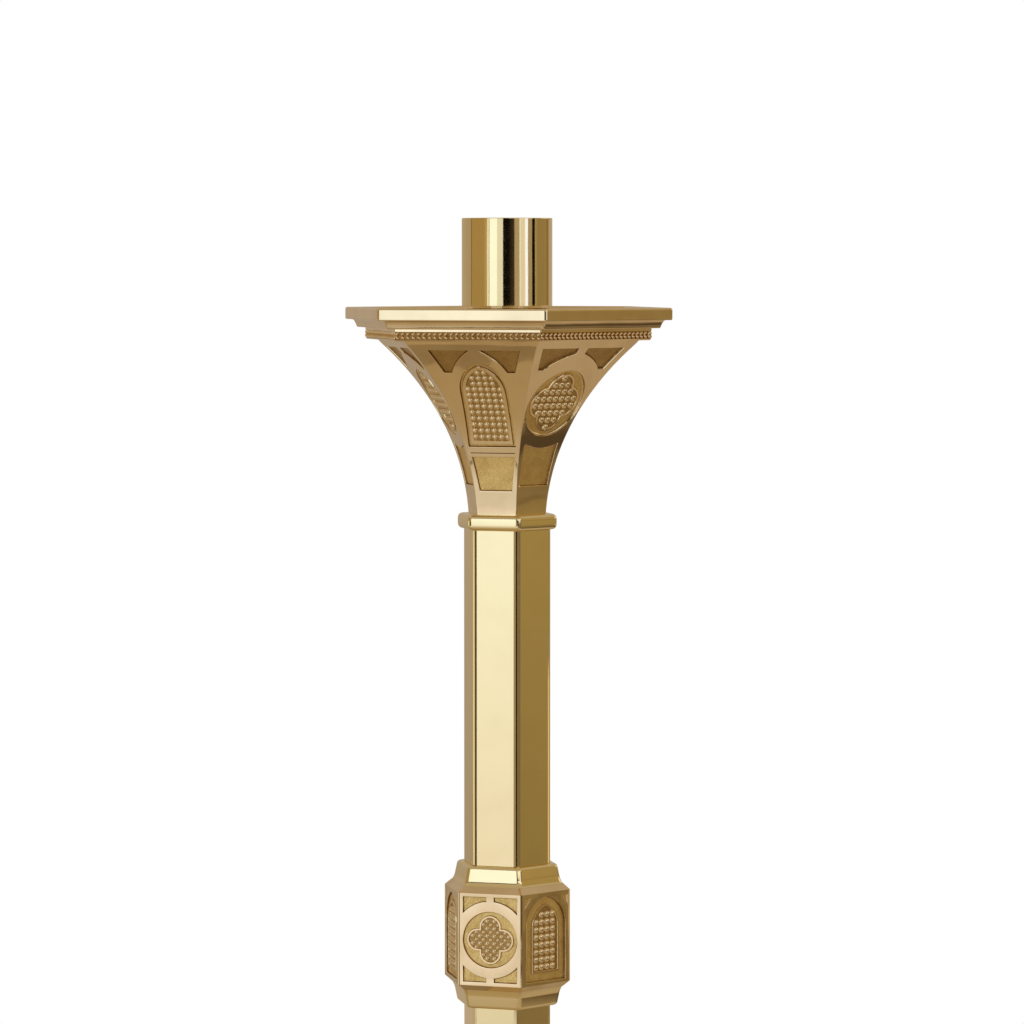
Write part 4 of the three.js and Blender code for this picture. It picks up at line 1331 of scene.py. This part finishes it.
# Each card spans two bearings in degrees, from straight in front of the front face towards +X,
# with a shade at each end, and tints for the floor and for the gradient's top
CARDS = (
    ("card_back_left", -180, -87, GREY_TAN, MID_TAN, ((0.85, 0.83, 0.78), (1.04, 1.04, 1.02))),
    ("card_left_edge", -87, -84, DARK_BROWN, DARK_BROWN, EVEN),
    ("card_left", -84, -44, BROWN_GOLD, BROWN_GOLD, FADED),
    ("card_left_gold", -44, -34, BROWN_GOLD, LIGHT_GOLD, FADED),
    ("card_front_strip", -34, -30, WHITE, WHITE, ((0.9, 0.82, 0.8), (1.0, 1.05, 1.15))),
    ("card_front_line", -30, -28, DARK_BROWN, BROWN_GOLD, ((0.8, 0.8, 0.8), (1.5, 1.5, 1.5))),
    ("card_front_softbox", -28, -8, WHITE, WHITE, SOFTBOX),
    ("card_front_dull", -8, 7, DULL_WHITE, DULL_WHITE, SOFTBOX),
    ("card_front_black", 7, 21, BLACK, BLACK, EVEN),
    ("card_front_dark", 21, 36, BLACK, DARK_OLIVE, EVEN),
    ("card_right_tan", 36, 49, MID_TAN, MID_TAN, FADED),
    ("card_right_line", 49, 53, WHITE, CREAM, FADED),
    ("card_right_cream", 53, 64, CREAM, CREAM, FADED),
    ("card_right_white", 64, 72, (0.9, 0.95, 1.25), (0.9, 0.95, 1.25), SOFTBOX),
    ("card_right_mid", 72, 84, MID_TAN, MID_TAN, EVEN),
    ("card_right_black", 84, 93, BLACK, BLACK, EVEN),
    ("card_right_edge", 93, 100, LIGHT_OLIVE, OLIVE, FADED),
    ("card_right_olive", 100, 128, OLIVE, OLIVE, ((0.82, 0.84, 0.8), (1.28, 1.3, 1.25))),
    ("card_right_brown", 128, 148, OLIVE, DARK_BROWN, FADED),
    ("card_back_right", 148, 180, MID_TAN, GREY_TAN, FADED),
)

# Strips in front of the cards: two bearings, two levels and a shade
STRIPS = (
    ("strip_left_white", -100, -68, 0, 0.78, (0.80, 0.76, 0.58)),
    ("strip_left_dark", -60, -32, 0, 0.78, (0.07, 0.045, 0.02)),
    ("strip_front_grey", 0, 28, 0, 0.78, (0.34, 0.28, 0.2)),
    ("strip_front_black", 28, 43, 0, 0.78, BLACK),
    ("strip_right_brown", 43, 96, 0, 0.78, (0.21, 0.155, 0.085)),
    ("strip_right_low", 96, 108, 0, 0.12, (0.22, 0.155, 0.07)),
    ("strip_right_light", 108, 140, 0, 0.49, (0.85, 0.62, 0.30)),
    ("strip_right_olive", 100, 128, 0.93, 1.25, OLIVE),
    ("strip_high_front", 22, 90, 1.9, 2.95, (1.15, 1.1, 1.0)),
    ("strip_high_right", 115, 150, 1.35, 2.8, (1.1, 1.0, 0.85)),
    ("strip_high", -60, 40, 2.72, 3.0, BLACK),
)

# Level cards near the floor: two bearings, then the shade at each distance
TABLE_EDGE = (0.09, 0.06, 0.035)
LOW_CARDS = (
    ("card_low_front", -60, 40, (
        (0.16, (0.42, 0.31, 0.18)), (0.5, (0.43, 0.32, 0.18)), (0.85, (0.45, 0.34, 0.20)),
        (1.1, (0.52, 0.43, 0.31)), (1.5, (0.60, 0.52, 0.41)), (1.51, TABLE_EDGE), (1.58, TABLE_EDGE),
        (1.59, (0.64, 0.56, 0.46)), (2.2, (0.78, 0.75, 0.70)), (4, (0.82, 0.80, 0.76)))),
    ("card_low_right", 40, 165, (
        (0.16, (0.36, 0.27, 0.17)), (0.95, (0.47, 0.37, 0.25)), (1.3, (0.44, 0.33, 0.21)),
        (1.42, (0.22, 0.16, 0.09)), (1.55, TABLE_EDGE), (1.75, TABLE_EDGE),
        (1.95, (0.20, 0.15, 0.08)), (4, (0.26, 0.19, 0.09)))),
    ("card_low_back", 165, 300, (
        (0.16, (0.27, 0.19, 0.10)), (0.9, (0.37, 0.28, 0.17)), (4, (0.52, 0.43, 0.33)))),
)
CEILING = ("card_ceiling", 0, 360, ((0.0, (0.40, 0.31, 0.20)), (4, (0.50, 0.41, 0.29))))


def bearing(degrees, radius, level):
    turn = math.radians(degrees)
    return Vector((math.sin(turn) * radius, -math.cos(turn) * radius, level))


def glow(name):
    """An emission material, with its tree, its light and its object coordinates."""
    material, tree, shader, where = new_material(name)
    tree.nodes.remove(shader)
    light = tree.nodes.new("ShaderNodeEmission")
    feed(tree, tree.nodes["Material Output"], Surface=light.outputs[0])
    return material, tree, light, where


def show_card(name, bm, material):
    """A card that only reflections see."""
    card = add_object(name, bm, [material])
    for ray in ("camera", "diffuse", "transmission", "volume_scatter", "shadow"):
        setattr(card, "visible_" + ray, False)


def swept_card(points, start, end):
    """A card swept from one bearing to another."""
    bm = bmesh.new()
    verts = [bm.verts.new(bearing(start, radius, level)) for radius, level in points]
    edge = bm.edges.new(verts)
    bmesh.ops.spin(bm, geom=[*verts, edge], axis=(0, 0, 1), cent=(0, 0, 0),
                   angle=math.radians(end - start), steps=max(2, round((end - start) / 4)))
    return bm


def make_wall_card(name, start, end, left, right, tints):
    """An upright card, shaded from its left end to its right end and from the floor up."""
    material, tree, light, where = glow(name)
    part = add_node(tree, "SeparateXYZ", Vector=where).outputs
    backwards = calculate(tree, "Math", "MULTIPLY", part["Y"], -1)[0]
    turn = calculate(tree, "Math", "ARCTAN2", part["X"], backwards)[0]
    across = between(tree, turn, 0, 1, math.radians(start), math.radians(end))
    up = between(tree, part["Z"], 0, 1, 0, GRADIENT_TOP)
    mixed = calculate(tree, "VectorMath", "MULTIPLY", blend_colours(tree, across, left, right),
                      blend_colours(tree, up, *tints))
    feed(tree, light, Color=mixed[0])
    show_card(name, swept_card(((CARD_RADIUS, 0), (CARD_RADIUS, CARD_TOP)), start, end), material)


def make_strip(name, start, end, low, high, shade):
    """An upright card of one shade just in front of the others."""
    material, tree, light, _ = glow(name)
    feed(tree, light, Color=(*shade, 1))
    radius = CARD_RADIUS - 50 * MM
    show_card(name, swept_card(((radius, low), (radius, high)), start, end), material)


def make_level_card(name, start, end, level, stops):
    """A flat card whose glow changes with the distance from the middle; stops are (radius, shade)."""
    material, tree, light, where = glow(name)
    distance = calculate(tree, "VectorMath", "LENGTH", where)["Value"]
    inner, outer = stops[0][0], stops[-1][0]
    ramp = add_node(tree, "ValToRGB", Fac=between(tree, distance, 0, 1, 0, outer))
    elements = ramp.color_ramp.elements
    elements.remove(elements[1])
    for number, (radius, shade) in enumerate(stops):
        element = elements[0] if number == 0 else elements.new(radius / outer)
        element.position = radius / outer
        element.color = (*shade, 1)
    feed(tree, light, Color=ramp.outputs["Color"])
    inner = max(inner, INNER_EDGE)
    show_card(name, swept_card(((inner, level), (outer, level)), start, end), material)


def make_floor(settings):
    """A pale disc that fades out towards its rim, so that it shows the shadow and no edge."""
    bm = bmesh.new()
    bmesh.ops.create_circle(bm, cap_ends=True, radius=settings.floor_radius, segments=FLOOR_STEPS)
    material, tree, shader, where = new_material("pale_floor")
    grain = between(tree, noise(tree, where, 4 * MM, 3), 0, 1)
    shade = blend_colours(tree, grain, settings.floor, darker(settings.floor, 0.015))
    feed(tree, shader, Roughness=0.7, Specular_IOR_Level=0.1, Base_Color=shade)
    start, end = (part * settings.floor_radius for part in FLOOR_FADE)
    distance = calculate(tree, "VectorMath", "LENGTH", where)["Value"]
    clear = tree.nodes.new("ShaderNodeBsdfTransparent")
    faded = mix_shaders(tree, between(tree, distance, 0, 1, start, end), shader, clear)
    feed(tree, tree.nodes["Material Output"], Surface=faded)
    add_object("floor", bm, [material])


def make_world(settings):
    """A white room: full white for the camera and for reflections, a plain level for matt surfaces."""
    world = bpy.data.worlds.new("white_room")
    bpy.context.scene.world = world
    world.use_nodes = True
    tree = world.node_tree
    tree.nodes.clear()
    path = tree.nodes.new("ShaderNodeLightPath").outputs
    seen = path["Is Camera Ray"]
    for ray in ("Is Glossy Ray", "Is Transmission Ray"):
        seen = calculate(tree, "Math", "MAXIMUM", seen, path[ray])[0]
    room, white = (add_node(tree, "Background", Color=(1, 1, 1, 1), Strength=strength)
                   for strength in (settings.daylight, 1))
    add_node(tree, "OutputWorld", Surface=mix_shaders(tree, seen, room, white))


def make_lamp(name, place, target, size, power):
    data = bpy.data.lights.new(name, "AREA")
    data.size = size
    data.energy = power
    lamp = bpy.data.objects.new(name, data)
    lamp.location = place
    lamp.rotation_euler = (Vector(target) - Vector(place)).to_track_quat("-Z", "Y").to_euler()
    lamp.visible_glossy = False
    bpy.context.scene.collection.objects.link(lamp)


# The camera stands to the right of the front face and looks a little down
CAMERA_BEARING = math.radians(17.271)
CAMERA_PITCH = math.radians(3.2923)
CAMERA_DISTANCE = 2.5017
CAMERA_ASIDE = 2.838 * MM
CAMERA_ABOVE_PAN = 26.13 * MM


def make_camera(settings):
    data = bpy.data.cameras.new("camera")
    data.sensor_width = 36
    data.lens = settings.lens
    camera = bpy.data.objects.new("camera", data)
    sine, cosine = math.sin(CAMERA_BEARING), math.cos(CAMERA_BEARING)
    camera.location = (
        CAMERA_ASIDE * cosine + CAMERA_DISTANCE * sine,
        CAMERA_ASIDE * sine - CAMERA_DISTANCE * cosine,
        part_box("drip_pan")[1].z + CAMERA_ABOVE_PAN,
    )
    camera.rotation_euler = (math.pi / 2 - CAMERA_PITCH, 0, CAMERA_BEARING)
    bpy.context.scene.collection.objects.link(camera)
    bpy.context.scene.camera = camera


class CANDLESTICK_OT_stage(bpy.types.Operator):
    """Set up the floor, the reflection cards, the soft light and the camera"""
    bl_idname = "candlestick.stage"
    bl_label = "Stage"

    def execute(self, context):
        settings = context.scene.candlestick_stage
        context.scene.view_settings.view_transform = "Standard"
        make_floor(settings)
        make_world(settings)
        for card in CARDS:
            make_wall_card(*card)
        for strip in STRIPS:
            make_strip(*strip)
        for name, start, end, stops in LOW_CARDS:
            make_level_card(name, start, end, 4 * MM, stops)
        name, start, end, stops = CEILING
        make_level_card(name, start, end, CARD_TOP, stops)
        middle = (0, 0, CAD_HIGH.z / 2)
        make_lamp("key_lamp", (-1.3, -2.6, 2.3), middle, 1.6, settings.key)
        make_lamp("fill_lamp", (2.4, 1.2, 2.6), middle, 1.8, settings.key / 3)
        make_camera(settings)
        return {"FINISHED"}


class CANDLESTICK_PT_panel(bpy.types.Panel):
    """Lists the pieces of the candlestick and their sizes"""
    bl_idname = "CANDLESTICK_PT_panel"
    bl_label = "Floor Candlestick"
    bl_space_type = "VIEW_3D"
    bl_region_type = "UI"
    bl_category = "Candlestick"

    def draw(self, context):
        for operator in OPERATORS:
            self.layout.operator(operator.bl_idname)
        for name, kind in GROUPS.items():
            box = self.layout.box()
            box.label(text=kind.__doc__)
            for key in kind.__annotations__:
                box.prop(getattr(context.scene, name), key)


GROUPS = {
    "candlestick_stem": StemSizes,
    "candlestick_relief": ReliefSizes,
    "candlestick_beading": BeadingSizes,
    "candlestick_finish": BrassFinish,
    "candlestick_stage": StageSettings,
}
OPERATORS = (
    CANDLESTICK_OT_stage,
    CANDLESTICK_OT_socket,
    CANDLESTICK_OT_pan,
    CANDLESTICK_OT_beading,
    CANDLESTICK_OT_flares,
    CANDLESTICK_OT_stem,
    CANDLESTICK_OT_knops,
    CANDLESTICK_OT_plinth,
)


def register():
    for kind in (*GROUPS.values(), *OPERATORS, CANDLESTICK_PT_panel):
        bpy.utils.register_class(kind)
    for name, kind in GROUPS.items():
        setattr(bpy.types.Scene, name, PointerProperty(type=kind))


def unregister():
    for name in GROUPS:
        delattr(bpy.types.Scene, name)
    for kind in reversed((*GROUPS.values(), *OPERATORS, CANDLESTICK_PT_panel)):
        bpy.utils.unregister_class(kind)


def main():
    register()
    bpy.ops.candlestick.stage()
    bpy.ops.candlestick.socket()
    bpy.ops.candlestick.pan()
    bpy.ops.candlestick.beading()
    bpy.ops.candlestick.flares()
    bpy.ops.candlestick.stem()
    bpy.ops.candlestick.knops()
    bpy.ops.candlestick.plinth()


if __name__ == "__main__":
    main()
